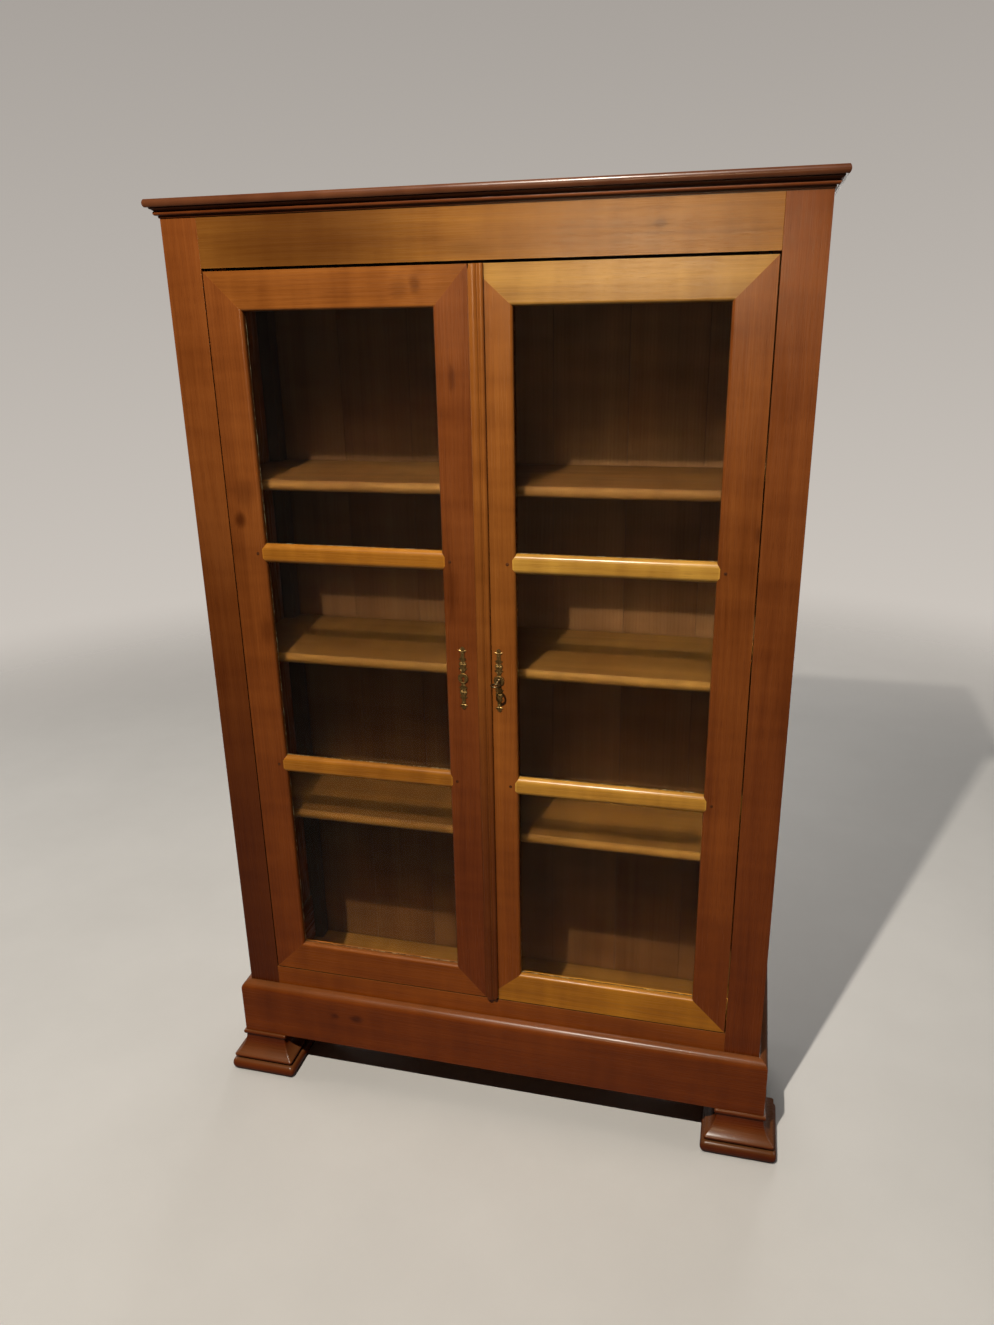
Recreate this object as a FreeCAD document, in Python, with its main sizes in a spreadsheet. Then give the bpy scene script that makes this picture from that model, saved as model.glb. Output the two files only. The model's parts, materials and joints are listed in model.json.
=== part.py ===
import FreeCAD
import Part
import math
import os
import types
import Sketcher

# A two-door glazed bookcase in cherry: a framed carcass with a thin cornice, a plinth on moulded front
# feet, three shelves, and two flush doors that turn on hidden pins and lock with a key.
# Millimetres, +Z up, front towards -Y, origin on the floor under the middle of the whole piece.

SIZES = {
    # Carcass
    "carcass_width": 1120,
    "carcass_depth": 330,
    "post_width": 69,
    "post_depth": 42,
    "rear_post_size": 45,
    "rail_thickness": 28,
    "side_rail_thickness": 25,
    # Heights, from the floor up
    "foot_height": 94,
    "plinth_height": 130,
    "sill_height": 44,
    "opening_height": 1457,
    "frieze_height": 83,
    "cove_height": 17,
    "cap_thickness": 13,
    # Tenons of the carcass rails
    "tenon_length": 24,
    "tenon_thickness": 10,
    "tenon_setback": 9,
    "tenon_shoulder": 12,
    # Side panels
    "panel_thickness": 12,
    "panel_inset": 8,
    "panel_tongue": 10,
    # Back
    "board_thickness": 12,
    "board_joint": 0.6,
    "board_lap": 8,
    "back_rail_thickness": 20,
    "back_top_rail_height": 60,
    # Floor board and door stops
    "floor_drop": 78,
    "floor_thickness": 22,
    "bearer_size": 20,
    "stop_thickness": 18,
    "stop_lap": 12,
    "stop_height": 44,
    "stop_end_gap": 34,
    # Shelves
    "shelf_setback": 52,
    "shelf_thickness": 20,
    "shelf_nose": 5,
    "shelf_play": 1,
    "lower_shelf_level": 642,
    "middle_shelf_level": 998,
    "upper_shelf_level": 1349,
    "cleat_width": 18,
    "cleat_height": 25,
    # Cornice
    "cap_overhang": 20,
    "cap_nose": 2.5,
    "cove_projection": 13,
    "cove_lip": 2,
    # Plinth
    "plinth_projection": 18,
    "plinth_round_height": 18,
    "plinth_lip": 2,
    # Feet
    "foot_projection": 48,
    "foot_width": 153,
    "foot_flare": 25,
    "torus_height": 32,
    "torus_bulge": 12,
    "quirk_step": 3,
    "quirk_rise": 3,
    "neck_inset": 4,
    "neck_slope": 2,
    "foot_fillet_height": 12,
    "rear_foot_width": 100,
    "rear_foot_depth": 80,
    # Doors
    "hinge_gap": 2.5,
    "top_gap": 5,
    "bottom_gap": 3,
    "meeting_offset": 6,
    "meeting_gap": 2,
    "pane_margin": 69,
    "frame_width": 67,
    "door_clearance": 0.5,
    "round_over": 6,
    "lip_thickness": 12,
    "rebate_width": 7,
    "door_tenon_setback": 9,
    "door_tenon_thickness": 9,
    "door_tenon_margin": 10,
    "bar_height": 37,
    "bar_round": 10,
    "bar_depth": 24,
    "lower_bar_level": 774,
    "upper_bar_level": 1217,
    # Glass and putty
    "glass_thickness": 3,
    "glass_play": 1,
    "putty_depth": 8,
    "putty_edge": 1,
    # Door pivots
    "pivot_inset": 14,
    "pivot_setback": 7,
    "pivot_radius": 3.5,
    "pivot_fit": 0.05,
    "pivot_plate_length": 50,
    "pivot_plate_width": 14,
    "pivot_plate_thickness": 3,
    "pivot_plate_margin": 4,
    "pivot_plate_setback": 1.5,
    "socket_thickness": 9,
    "pin_engagement": 6,
    "pin_end_play": 0.3,
    # Cover strip on the meeting line
    "strip_width": 26,
    "strip_height": 10,
    "strip_band_width": 15,
    "strip_band_drop": 4,
    "strip_band_rise": 3,
    "strip_groove_width": 2,
    "strip_groove_depth": 5,
    "strip_end_round": 12,
    # Escutcheons
    "escutcheon_length": 125,
    "escutcheon_thickness": 1.6,
    "escutcheon_middle_radius": 10,
    "escutcheon_lobe_radius": 7,
    "escutcheon_tip_radius": 3.5,
    "escutcheon_stem_width": 7,
    "escutcheon_level": 993,
    "escutcheon_inset": 35,
    # Lock and key
    "key_radius": 3,
    "key_play": 0.3,
    "key_reach": 38,
    "bow_radius": 8,
    "bow_wire_radius": 1.9,
    "bit_length": 9,
    "bit_thickness": 3,
    "bit_width": 8,
    "case_width": 64,
    "case_height": 80,
    "case_depth": 15,
    "case_wall": 2,
    "case_margin": 1,
    "lock_bolt_length": 48,
    "lock_bolt_height": 12,
    "lock_bolt_thickness": 8,
    "lock_bolt_gap": 1,
    "lock_bolt_play": 0.3,
    "lock_bolt_rise": 7.5,
    "talon_offset": 0.4,
    "talon_width": 9.4,
    "talon_depth": 2.4,
    # Slide bolts of the left door
    "slide_bolt_radius": 4,
    "slide_bolt_length": 110,
    "slide_bolt_travel": 18,
    "slide_bolt_rest_gap": 3,
    "slide_bolt_play": 0.3,
    "slide_bolt_inset": 30,
    "bolt_hole_play": 0.6,
    "bolt_plate_length": 80,
    "bolt_plate_width": 24,
    "bolt_plate_thickness": 2,
    "bolt_plate_tail": 25,
    "staple_height": 12,
    "staple_width": 16,
    "staple_depth": 11,
    "bolt_knob_radius": 3.5,
    "bolt_knob_length": 9,
    # Shares and the length by which a cut runs past its piece
    "bead_round_share": 0.55,
    "lobe_place_share": 0.45,
    "overrun": 5,
}

BACK_BOARD_COUNT = 7

doc = FreeCAD.newDocument("glazed_bookcase")
sheet = doc.addObject("Spreadsheet::Sheet", "Sizes")
for row, (alias, number) in enumerate(SIZES.items(), start=1):
    sheet.set(f"A{row}", alias)
    sheet.set(f"B{row}", str(number))
    sheet.setAlias(f"B{row}", alias)
doc.recompute()


class Size:
    """A length that carries its formula in the sheet and its present value."""

    def __init__(self, formula, value):
        self.formula = formula
        self.value = value

    def joined(self, sign, other, value):
        """The size made of this one and another one or a plain count."""
        right = other.formula if isinstance(other, Size) else str(other)
        return Size(f"({self.formula} {sign} {right})", value)

    def __add__(self, other):
        return self.joined("+", other, self.value + plain(other))

    def __sub__(self, other):
        return self.joined("-", other, self.value - plain(other))

    def __mul__(self, other):
        return self.joined("*", other, self.value * plain(other))

    def __truediv__(self, other):
        return self.joined("/", other, self.value / plain(other))

    def __neg__(self):
        return Size(f"(0 - {self.formula})", -self.value)


def plain(size):
    """The number behind a size or a count."""
    return size.value if isinstance(size, Size) else size


ZERO = Size("0", 0.0)
s = types.SimpleNamespace(**{alias: Size(f"Sizes.{alias}", number) for alias, number in SIZES.items()})

PLANES = {
    "xy": (FreeCAD.Rotation(), FreeCAD.Vector(0, 0, 1)),
    "xz": (FreeCAD.Rotation(FreeCAD.Vector(1, 0, 0), 90), FreeCAD.Vector(0, 1, 0)),
    "yz": (FreeCAD.Rotation(FreeCAD.Vector(1, 1, 1), 120), FreeCAD.Vector(1, 0, 0)),
}
AXES = {
    "x": FreeCAD.Rotation(FreeCAD.Vector(0, 1, 0), 90),
    "y": FreeCAD.Rotation(FreeCAD.Vector(1, 0, 0), -90),
    "z": FreeCAD.Rotation(),
}
nodes = {}


# Helpers that make bound objects

def bind(thing, path, size):
    """Ties a property to its formula in the sheet."""
    thing.setExpression(path, size.formula)


def bind_place(thing, origin):
    """Ties the place of an object to three sizes."""
    for axis, position in zip("xyz", origin):
        bind(thing, f"Placement.Base.{axis}", position)


def node(label, thing):
    """Makes an object one of the named sub-parts."""
    thing.Label = label
    nodes[label] = thing
    return thing


def span(first, second):
    """Two bounds in rising order."""
    return (first, second) if first.value <= second.value else (second, first)


def box(name, x, y, z):
    """A block between two bounds on each axis."""
    block = doc.addObject("Part::Box", name)
    for path, (low, high) in zip(("Length", "Width", "Height"), (x, y, z)):
        bind(block, path, high - low)
    bind_place(block, (x[0], y[0], z[0]))
    return block


def rod(name, axis, radius, start, length):
    """A round bar along one axis from a start point."""
    bar = doc.addObject("Part::Cylinder", name)
    bar.Placement = FreeCAD.Placement(FreeCAD.Vector(), AXES[axis])
    bind(bar, "Radius", radius)
    bind(bar, "Height", length)
    bind_place(bar, start)
    return bar


def cut(name, base, *tools):
    """A base less one or more tools."""
    result = doc.addObject("Part::Cut", name)
    result.Base = base
    result.Tool = tools[0] if len(tools) == 1 else fuse(f"{name}_tools", *tools)
    return result


def combine(kind, name, links, parts):
    """One boolean or compound object of several parts."""
    result = doc.addObject(kind, name)
    setattr(result, links, list(parts))
    return result


def fuse(name, *parts):
    return combine("Part::MultiFuse", name, "Shapes", parts)


def common(name, *parts):
    return combine("Part::MultiCommon", name, "Shapes", parts)


def group(name, *parts):
    return combine("Part::Compound", name, "Links", parts)


def mirror(name, source):
    """The piece on the other side of the middle plane."""
    result = doc.addObject("Part::Mirroring", name)
    result.Source = source
    result.Normal = FreeCAD.Vector(1, 0, 0)
    return result


def arc_edge(start, end, radius, turn):
    """An arc from start to end that turns left (1) or right (-1)."""
    run = end - start
    left = FreeCAD.Vector(-run.y, run.x, 0).normalize()
    reach = math.sqrt(max(radius ** 2 - (run.Length / 2) ** 2, 0))
    centre = (start + end) * 0.5 + left * (reach * turn)
    first, last = (start, end) if turn > 0 else (end, start)
    angles = [math.atan2(point.y - centre.y, point.x - centre.x) for point in (first, last)]
    circle = Part.Circle(centre, FreeCAD.Vector(0, 0, 1), radius)
    return Part.ArcOfCircle(circle, angles[0], angles[1])


def outline(name, plane, points):
    """A closed sketch through bound points. A point (u, v, radius, turn) is reached by an arc."""
    sketch = doc.addObject("Sketcher::SketchObject", name)
    sketch.Placement = FreeCAD.Placement(FreeCAD.Vector(), PLANES[plane][0])
    places = [FreeCAD.Vector(point[0].value, point[1].value, 0) for point in points]
    count = len(points)
    starts = []
    for index in range(count):
        end = points[(index + 1) % count]
        first, last = places[index], places[(index + 1) % count]
        if len(end) == 2:
            sketch.addGeometry(Part.LineSegment(first, last))
            starts.append(1)
        else:
            sketch.addGeometry(arc_edge(first, last, end[2].value, end[3]))
            starts.append(1 if end[3] > 0 else 2)
    for index, point in enumerate(points):
        before = index - 1 if index else count - 1
        corner = (index, starts[index])
        sketch.addConstraint(Sketcher.Constraint("Coincident", before, 3 - starts[before], *corner))
        for kind, axis, size in (("DistanceX", -2, point[0]), ("DistanceY", -1, point[1])):
            if size is ZERO:
                sketch.addConstraint(Sketcher.Constraint("PointOnObject", *corner, axis))
            else:
                place = sketch.addConstraint(Sketcher.Constraint(kind, -1, 1, *corner, size.value))
                bind(sketch, f"Constraints[{place}]", size)
        if len(point) == 4:
            place = sketch.addConstraint(Sketcher.Constraint("Radius", before, point[2].value))
            bind(sketch, f"Constraints[{place}]", point[2])
    return sketch


def extrude(name, plane, points, origin, length):
    """A closed outline drawn at an origin and run along the axis across its plane."""
    sketch = outline(f"{name}_outline", plane, points)
    bind_place(sketch, origin)
    solid = doc.addObject("Part::Extrusion", name)
    solid.Base = sketch
    solid.DirMode = "Custom"
    solid.Dir = PLANES[plane][1]
    solid.Solid = True
    bind(solid, "LengthFwd", length)
    return solid


def mirrored(arc):
    """The radius and turn of an arc once its outline is mirrored."""
    return tuple(arc[:1]) + tuple(-turn for turn in arc[1:])


def bulge_radius(chord, rise):
    """Radius of the arc over a chord that rises by a given amount at its middle."""
    return (chord * chord / 4 + rise * rise) / (rise * 2)


def sweep_radius(across, along):
    """Radius of the arc that starts along one direction and ends this far across and along."""
    return (across * across + along * along) / (across * 2)


# Levels and planes that the pieces share

half = s.carcass_width / 2
front = (s.foot_projection - s.carcass_depth) / 2
back = (s.foot_projection + s.carcass_depth) / 2
inner = half - s.post_width
plinth_level = s.foot_height
plinth_top = plinth_level + s.plinth_height
sill_top = plinth_top + s.sill_height
frieze_level = sill_top + s.opening_height
cove_level = frieze_level + s.frieze_height
cap_level = cove_level + s.cove_height
floor_top = plinth_top - s.floor_drop
floor_level = floor_top - s.floor_thickness
panel_outer = half - s.panel_inset
panel_face = panel_outer - s.panel_thickness
side_rail_face = half - s.side_rail_thickness
rail_back = front + s.rail_thickness
board_face = back - s.board_thickness
rear_post_face = half - s.rear_post_size
rear_post_front = back - s.rear_post_size
post_back = front + s.post_depth

# Plan places of the doors, drawn for the left door with the hinge edge on the left
door_thickness = s.rail_thickness - s.door_clearance
door_back = front + door_thickness
door_level = sill_top + s.bottom_gap
door_height = s.opening_height - s.bottom_gap - s.top_gap
door_top = door_level + door_height
hinge_edge = s.hinge_gap - inner
left_edge = -(s.meeting_offset + s.meeting_gap / 2)
right_edge = s.meeting_gap / 2 - s.meeting_offset
pivot_x = hinge_edge + s.pivot_inset
pivot_y = front + s.pivot_setback
pivot_plate_edge = hinge_edge + s.pivot_plate_margin
pivot_plate_front = front + s.pivot_plate_setback
pivot_plate_x = (pivot_plate_edge, pivot_plate_edge + s.pivot_plate_length)
pivot_plate_y = (pivot_plate_front, pivot_plate_front + s.pivot_plate_width)


# Carcass

def side_panel_block():
    """The right side panel with its tongues, which also cuts the grooves that hold it."""
    y = (post_back - s.panel_tongue, rear_post_front + s.panel_tongue)
    z = (sill_top - s.panel_tongue, frieze_level + s.panel_tongue)
    return box("side_panel_block", (panel_face, panel_outer), y, z)


def tenoned_rail(name, x, y, z):
    """A rail across the width with a tenon at each end."""
    body = box(f"{name}_body", x, y, z)
    tenon_x = (x[0] - s.tenon_length, x[1] + s.tenon_length)
    tenon_y = (y[0] + s.tenon_setback, y[0] + s.tenon_setback + s.tenon_thickness)
    tenon_z = (z[0] + s.tenon_shoulder, z[1] - s.tenon_shoulder)
    tenon = box(f"{name}_tenon", tenon_x, tenon_y, tenon_z)
    return fuse(f"{name}_joined", body, tenon), tenon


def socket_block(name, level, top):
    """A socket plate for a left door pivot, between two heights."""
    return box(name, pivot_plate_x, pivot_plate_y, (level, top))


upper_socket = socket_block("upper_socket_block", frieze_level, frieze_level + s.socket_thickness)
lower_socket = socket_block("lower_socket_block", sill_top - s.socket_thickness, sill_top)
upper_socket_right = mirror("upper_socket_right", upper_socket)
lower_socket_right = mirror("lower_socket_right", lower_socket)

panel = side_panel_block()
rail_y = (front, rail_back)
frieze, frieze_tenon = tenoned_rail("frieze", (-inner, inner), rail_y, (frieze_level, cap_level))
sill, sill_tenon = tenoned_rail("sill", (-inner, inner), rail_y, (plinth_level, sill_top))
node("frieze_rail", cut("frieze_cut", frieze, upper_socket, upper_socket_right))
node("sill_rail", cut("sill_cut", sill, lower_socket, lower_socket_right))

front_post = box("front_post_block", (inner, half), (front, post_back), (plinth_level, cap_level))
node("front_post_right", cut("front_post_cut", front_post, panel, frieze_tenon, sill_tenon))
node("front_post_left", mirror("front_post_mirror", nodes["front_post_right"]))

back_rail_x = (-rear_post_face, rear_post_face)
back_rail_y = (board_face - s.back_rail_thickness, board_face)
back_top_z = (cap_level - s.back_top_rail_height, cap_level)
back_bottom_z = (plinth_level, floor_level)
back_rails = [
    box("back_top_rail", back_rail_x, back_rail_y, back_top_z),
    box("back_bottom_rail", back_rail_x, back_rail_y, back_bottom_z),
]
node("back_rails", group("back_rail_pair", *back_rails))

board_edge = rear_post_face + s.board_thickness
board_room = box("board_room", (-board_edge, board_edge), (board_face, back + s.overrun), (ZERO, cap_level))
rear_post_y = (rear_post_front, back)
rear_post = box("rear_post_block", (rear_post_face, half), rear_post_y, (plinth_level, cap_level))
node("rear_post_right", cut("rear_post_cut", rear_post, panel, board_room))
node("rear_post_left", mirror("rear_post_mirror", nodes["rear_post_right"]))

board_pitch = board_edge * 2 / BACK_BOARD_COUNT
face_width = board_pitch - s.board_joint
lap_end = face_width + s.board_lap
lap_depth = s.board_thickness / 2


def back_board(index):
    """A back board, half-lapped behind the next one and in front of the one before it."""
    lapped_right = [(face_width, lap_depth), (lap_end, lap_depth), (lap_end, s.board_thickness)]
    lapped_left = [(s.board_lap, s.board_thickness), (s.board_lap, lap_depth), (ZERO, lap_depth)]
    plain_right = [(face_width, s.board_thickness)]
    plain_left = [(ZERO, s.board_thickness)]
    right_side = lapped_right if index < BACK_BOARD_COUNT - 1 else plain_right
    left_side = lapped_left if index else plain_left
    plan = [(ZERO, ZERO), (face_width, ZERO), *right_side, *left_side]
    corner = (board_pitch * index - board_edge, board_face, plinth_level)
    return extrude(f"back_board_{index + 1}", "xy", plan, corner, cap_level - plinth_level)


node("back_boards", group("back_board_row", *[back_board(index) for index in range(BACK_BOARD_COUNT)]))

side_rail_x = (side_rail_face, half)
side_rail_y = (post_back, rear_post_front)
side_rails = {
    "side_top_rail": (frieze_level, cap_level),
    "side_bottom_rail": (plinth_level, sill_top),
}
for name, side_rail_z in side_rails.items():
    block = box(f"{name}_block", side_rail_x, side_rail_y, side_rail_z)
    node(f"{name}_right", cut(f"{name}_cut", block, panel))
    node(f"{name}_left", mirror(f"{name}_mirror", nodes[f"{name}_right"]))
node("side_panel_right", panel)
node("side_panel_left", mirror("side_panel_mirror", panel))


# Floor, bearers and door stops

floor_x = (-side_rail_face, side_rail_face)
floor_block = box("floor_block", floor_x, (rail_back, board_face), (floor_level, floor_top))
posts = [nodes[f"{place}_post_{side}"] for place in ("front", "rear") for side in ("left", "right")]
node("floor_board", cut("floor_cut", floor_block, *posts))

bearer_z = (floor_level - s.bearer_size, floor_level)
side_bearer_x = (side_rail_face - s.bearer_size, side_rail_face)
side_bearer = box("side_bearer", side_bearer_x, side_rail_y, bearer_z)
front_bearer = box("front_bearer", (-inner, inner), (rail_back, rail_back + s.bearer_size), bearer_z)
bearers = (side_bearer, mirror("side_bearer_mirror", side_bearer), front_bearer)
node("floor_bearers", group("bearer_set", *bearers))

bolt_x = left_edge - s.slide_bolt_inset
bolt_y = door_back + s.bolt_plate_thickness + s.staple_depth / 2
bolt_hole_radius = s.slide_bolt_radius + s.bolt_hole_play
stop_x = (s.stop_end_gap - inner, inner - s.stop_end_gap)
stop_y = (rail_back, rail_back + s.stop_thickness)
stop_edges = {
    "top_door_stop": (frieze_level - s.stop_lap, 1),
    "bottom_door_stop": (sill_top + s.stop_lap, -1),
}
for name, (edge, rise) in stop_edges.items():
    strip = box(f"{name}_strip", stop_x, stop_y, span(edge, edge + s.stop_height * rise))
    hole_depth = s.slide_bolt_travel + s.overrun
    hole_start = (bolt_x, bolt_y, edge if rise > 0 else edge - hole_depth)
    hole = rod(f"{name}_hole", "z", bolt_hole_radius, hole_start, hole_depth)
    node(name, cut(f"{name}_cut", strip, hole))


# Shelves on side cleats

shelf_depth = s.carcass_depth - s.shelf_setback - s.board_thickness
shelf_length = (panel_face - s.shelf_play) * 2
shelf_section = [
    (s.shelf_nose, ZERO, bulge_radius(s.shelf_thickness, s.shelf_nose), 1),
    (shelf_depth, ZERO),
    (shelf_depth, s.shelf_thickness),
    (s.shelf_nose, s.shelf_thickness),
]
rear_posts = (nodes["rear_post_left"], nodes["rear_post_right"])
shelf_levels = {"lower": s.lower_shelf_level, "middle": s.middle_shelf_level, "upper": s.upper_shelf_level}
cleats = []
for name, level in shelf_levels.items():
    shelf_bottom = level - s.shelf_thickness
    corner = (-(shelf_length / 2), front + s.shelf_setback, shelf_bottom)
    plank = extrude(f"{name}_shelf_plank", "yz", shelf_section, corner, shelf_length)
    node(f"shelf_{name}", cut(f"{name}_shelf_cut", plank, *rear_posts))
    cleat_z = (shelf_bottom - s.cleat_height, shelf_bottom)
    cleat = box(f"{name}_cleat", (panel_face - s.cleat_width, panel_face), side_rail_y, cleat_z)
    cleats += [cleat, mirror(f"{name}_cleat_mirror", cleat)]
node("shelf_cleats", group("cleat_set", *cleats))


# Cornice

cap_width = (half + s.cap_overhang) * 2
cap_depth = s.carcass_depth + s.cap_overhang
cap_arc = bulge_radius(s.cap_thickness, s.cap_nose)
cap_corner = (-(cap_width / 2), front - s.cap_overhang, cap_level)
cap_side_section = [
    (s.cap_nose, ZERO, cap_arc, 1),
    (cap_depth, ZERO),
    (cap_depth, s.cap_thickness),
    (s.cap_nose, s.cap_thickness),
]
cap_front_section = [
    (s.cap_nose, ZERO, cap_arc, 1),
    (cap_width - s.cap_nose, ZERO),
    (cap_width - s.cap_nose, s.cap_thickness, cap_arc, 1),
    (s.cap_nose, s.cap_thickness),
]
cap_long = extrude("cap_long", "yz", cap_side_section, cap_corner, cap_width)
cap_deep = extrude("cap_deep", "xz", cap_front_section, cap_corner, cap_depth)
node("cornice_cap", common("cap_solid", cap_long, cap_deep))


def applied_moulding(name, projection, level, height, section):
    """A moulding mitred round the front and both sides, from a section of (out, up) points."""
    run = (half + projection) * 2
    corner = (-(half + projection), front - projection, level)
    front_points = [(projection - out, up, *mirrored(arc)) for out, up, *arc in section]
    front_plan = [(ZERO, ZERO), (run, ZERO), (run - projection, projection), (projection, projection)]
    front_run = extrude(f"{name}_front_run", "yz", front_points, corner, run)
    front_mitre = extrude(f"{name}_front_mitre", "xy", front_plan, corner, height)
    node(f"{name}_front", common(f"{name}_front_solid", front_run, front_mitre))
    side_depth = s.carcass_depth + projection
    side_corner = (half, front - projection, level)
    side_plan = [(ZERO, projection), (projection, ZERO), (projection, side_depth), (ZERO, side_depth)]
    side_run = extrude(f"{name}_side_run", "xz", section, side_corner, side_depth)
    side_mitre = extrude(f"{name}_side_mitre", "xy", side_plan, side_corner, height)
    node(f"{name}_right", common(f"{name}_right_solid", side_run, side_mitre))
    node(f"{name}_left", mirror(f"{name}_mirror", nodes[f"{name}_right"]))


cove_radius = sweep_radius(s.cove_projection - s.cove_lip, s.cove_height - s.cove_lip)
cove_section = [
    (ZERO, ZERO),
    (ZERO, s.cove_height),
    (s.cove_projection, s.cove_height),
    (s.cove_projection, s.cove_height - s.cove_lip),
    (s.cove_lip, ZERO, cove_radius, 1),
]
applied_moulding("cornice_cove", s.cove_projection, cove_level, s.cove_height, cove_section)

plinth_radius = sweep_radius(s.plinth_projection - s.plinth_lip, s.plinth_round_height)
plinth_section = [
    (ZERO, ZERO),
    (ZERO, s.plinth_height),
    (s.plinth_lip, s.plinth_height),
    (s.plinth_projection, s.plinth_height - s.plinth_round_height, plinth_radius, -1),
    (s.plinth_projection, ZERO),
]
applied_moulding("plinth", s.plinth_projection, plinth_level, s.plinth_height, plinth_section)


# Feet

flare_level = s.torus_height + s.quirk_rise
fillet_level = s.foot_height - s.foot_fillet_height
neck_level = fillet_level - s.neck_slope
flare_inset = s.torus_bulge + s.quirk_step
neck = s.foot_flare + s.neck_inset
flare_radius = sweep_radius(neck - flare_inset, neck_level - flare_level)
torus_radius = bulge_radius(s.torus_height, s.torus_bulge)
foot_left_side = [
    (s.foot_flare, s.foot_height),
    (s.foot_flare, fillet_level),
    (neck, neck_level),
    (flare_inset, flare_level, flare_radius, -1),
    (flare_inset, s.torus_height),
    (s.torus_bulge, s.torus_height),
    (s.torus_bulge, ZERO, torus_radius, 1),
]
foot_right_side = [
    (s.foot_width - s.torus_bulge, ZERO),
    (s.foot_width - s.torus_bulge, s.torus_height, torus_radius, 1),
    (s.foot_width - flare_inset, s.torus_height),
    (s.foot_width - flare_inset, flare_level),
    (s.foot_width - neck, neck_level, flare_radius, -1),
    (s.foot_width - s.foot_flare, fillet_level),
    (s.foot_width - s.foot_flare, s.foot_height),
]
foot_section = foot_left_side + foot_right_side
foot_corner = (half + s.foot_projection - s.foot_width, front - s.foot_projection, ZERO)
foot_across = extrude("foot_across", "xz", foot_section, foot_corner, s.foot_width)
foot_along = extrude("foot_along", "yz", foot_section, foot_corner, s.foot_width)
node("foot_front_right", common("foot_solid", foot_across, foot_along))
node("foot_front_left", mirror("foot_mirror", nodes["foot_front_right"]))

rear_foot_x = (half - s.rear_foot_width, half)
rear_foot = box("rear_foot_block", rear_foot_x, (back - s.rear_foot_depth, back), (ZERO, s.foot_height))
node("rear_feet", group("rear_foot_pair", rear_foot, mirror("rear_foot_mirror", rear_foot)))


# Door pivots

def pivot(name, level, rise):
    """A pivot plate let into the end of the left door, with its pin."""
    plate_z = span(level, level - s.pivot_plate_thickness * rise)
    plate = box(f"{name}_plate", pivot_plate_x, pivot_plate_y, plate_z)
    gap = s.top_gap if rise > 0 else s.bottom_gap
    reach = gap + s.pin_engagement
    pin_start = level if rise > 0 else level - reach
    pin = rod(f"{name}_pin", "z", s.pivot_radius, (pivot_x, pivot_y, pin_start), reach)
    return plate, fuse(f"{name}_piece", plate, pin)


def socket(name, block, mouth, rise):
    """A socket plate bored for a pivot pin."""
    depth = s.pin_engagement + s.pin_end_play
    bore_start = mouth if rise > 0 else mouth - depth
    bore = rod(f"{name}_bore", "z", s.pivot_radius + s.pivot_fit, (pivot_x, pivot_y, bore_start), depth)
    return cut(f"{name}_bored", block, bore)


upper_plate, upper_pivot = pivot("upper_pivot", door_top, 1)
lower_plate, lower_pivot = pivot("lower_pivot", door_level, -1)
node("left_pivots", group("left_pivot_pair", upper_pivot, lower_pivot))
right_pivots = [mirror("upper_pivot_mirror", upper_pivot), mirror("lower_pivot_mirror", lower_pivot)]
node("right_pivots", group("right_pivot_pair", *right_pivots))
sockets = [
    socket("upper_socket", upper_socket, frieze_level, 1),
    socket("lower_socket", lower_socket, sill_top, -1),
]
sockets += [mirror(f"socket_mirror_{index}", bored) for index, bored in enumerate(sockets)]
node("pivot_sockets", group("socket_set", *sockets))


# Doors

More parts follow.
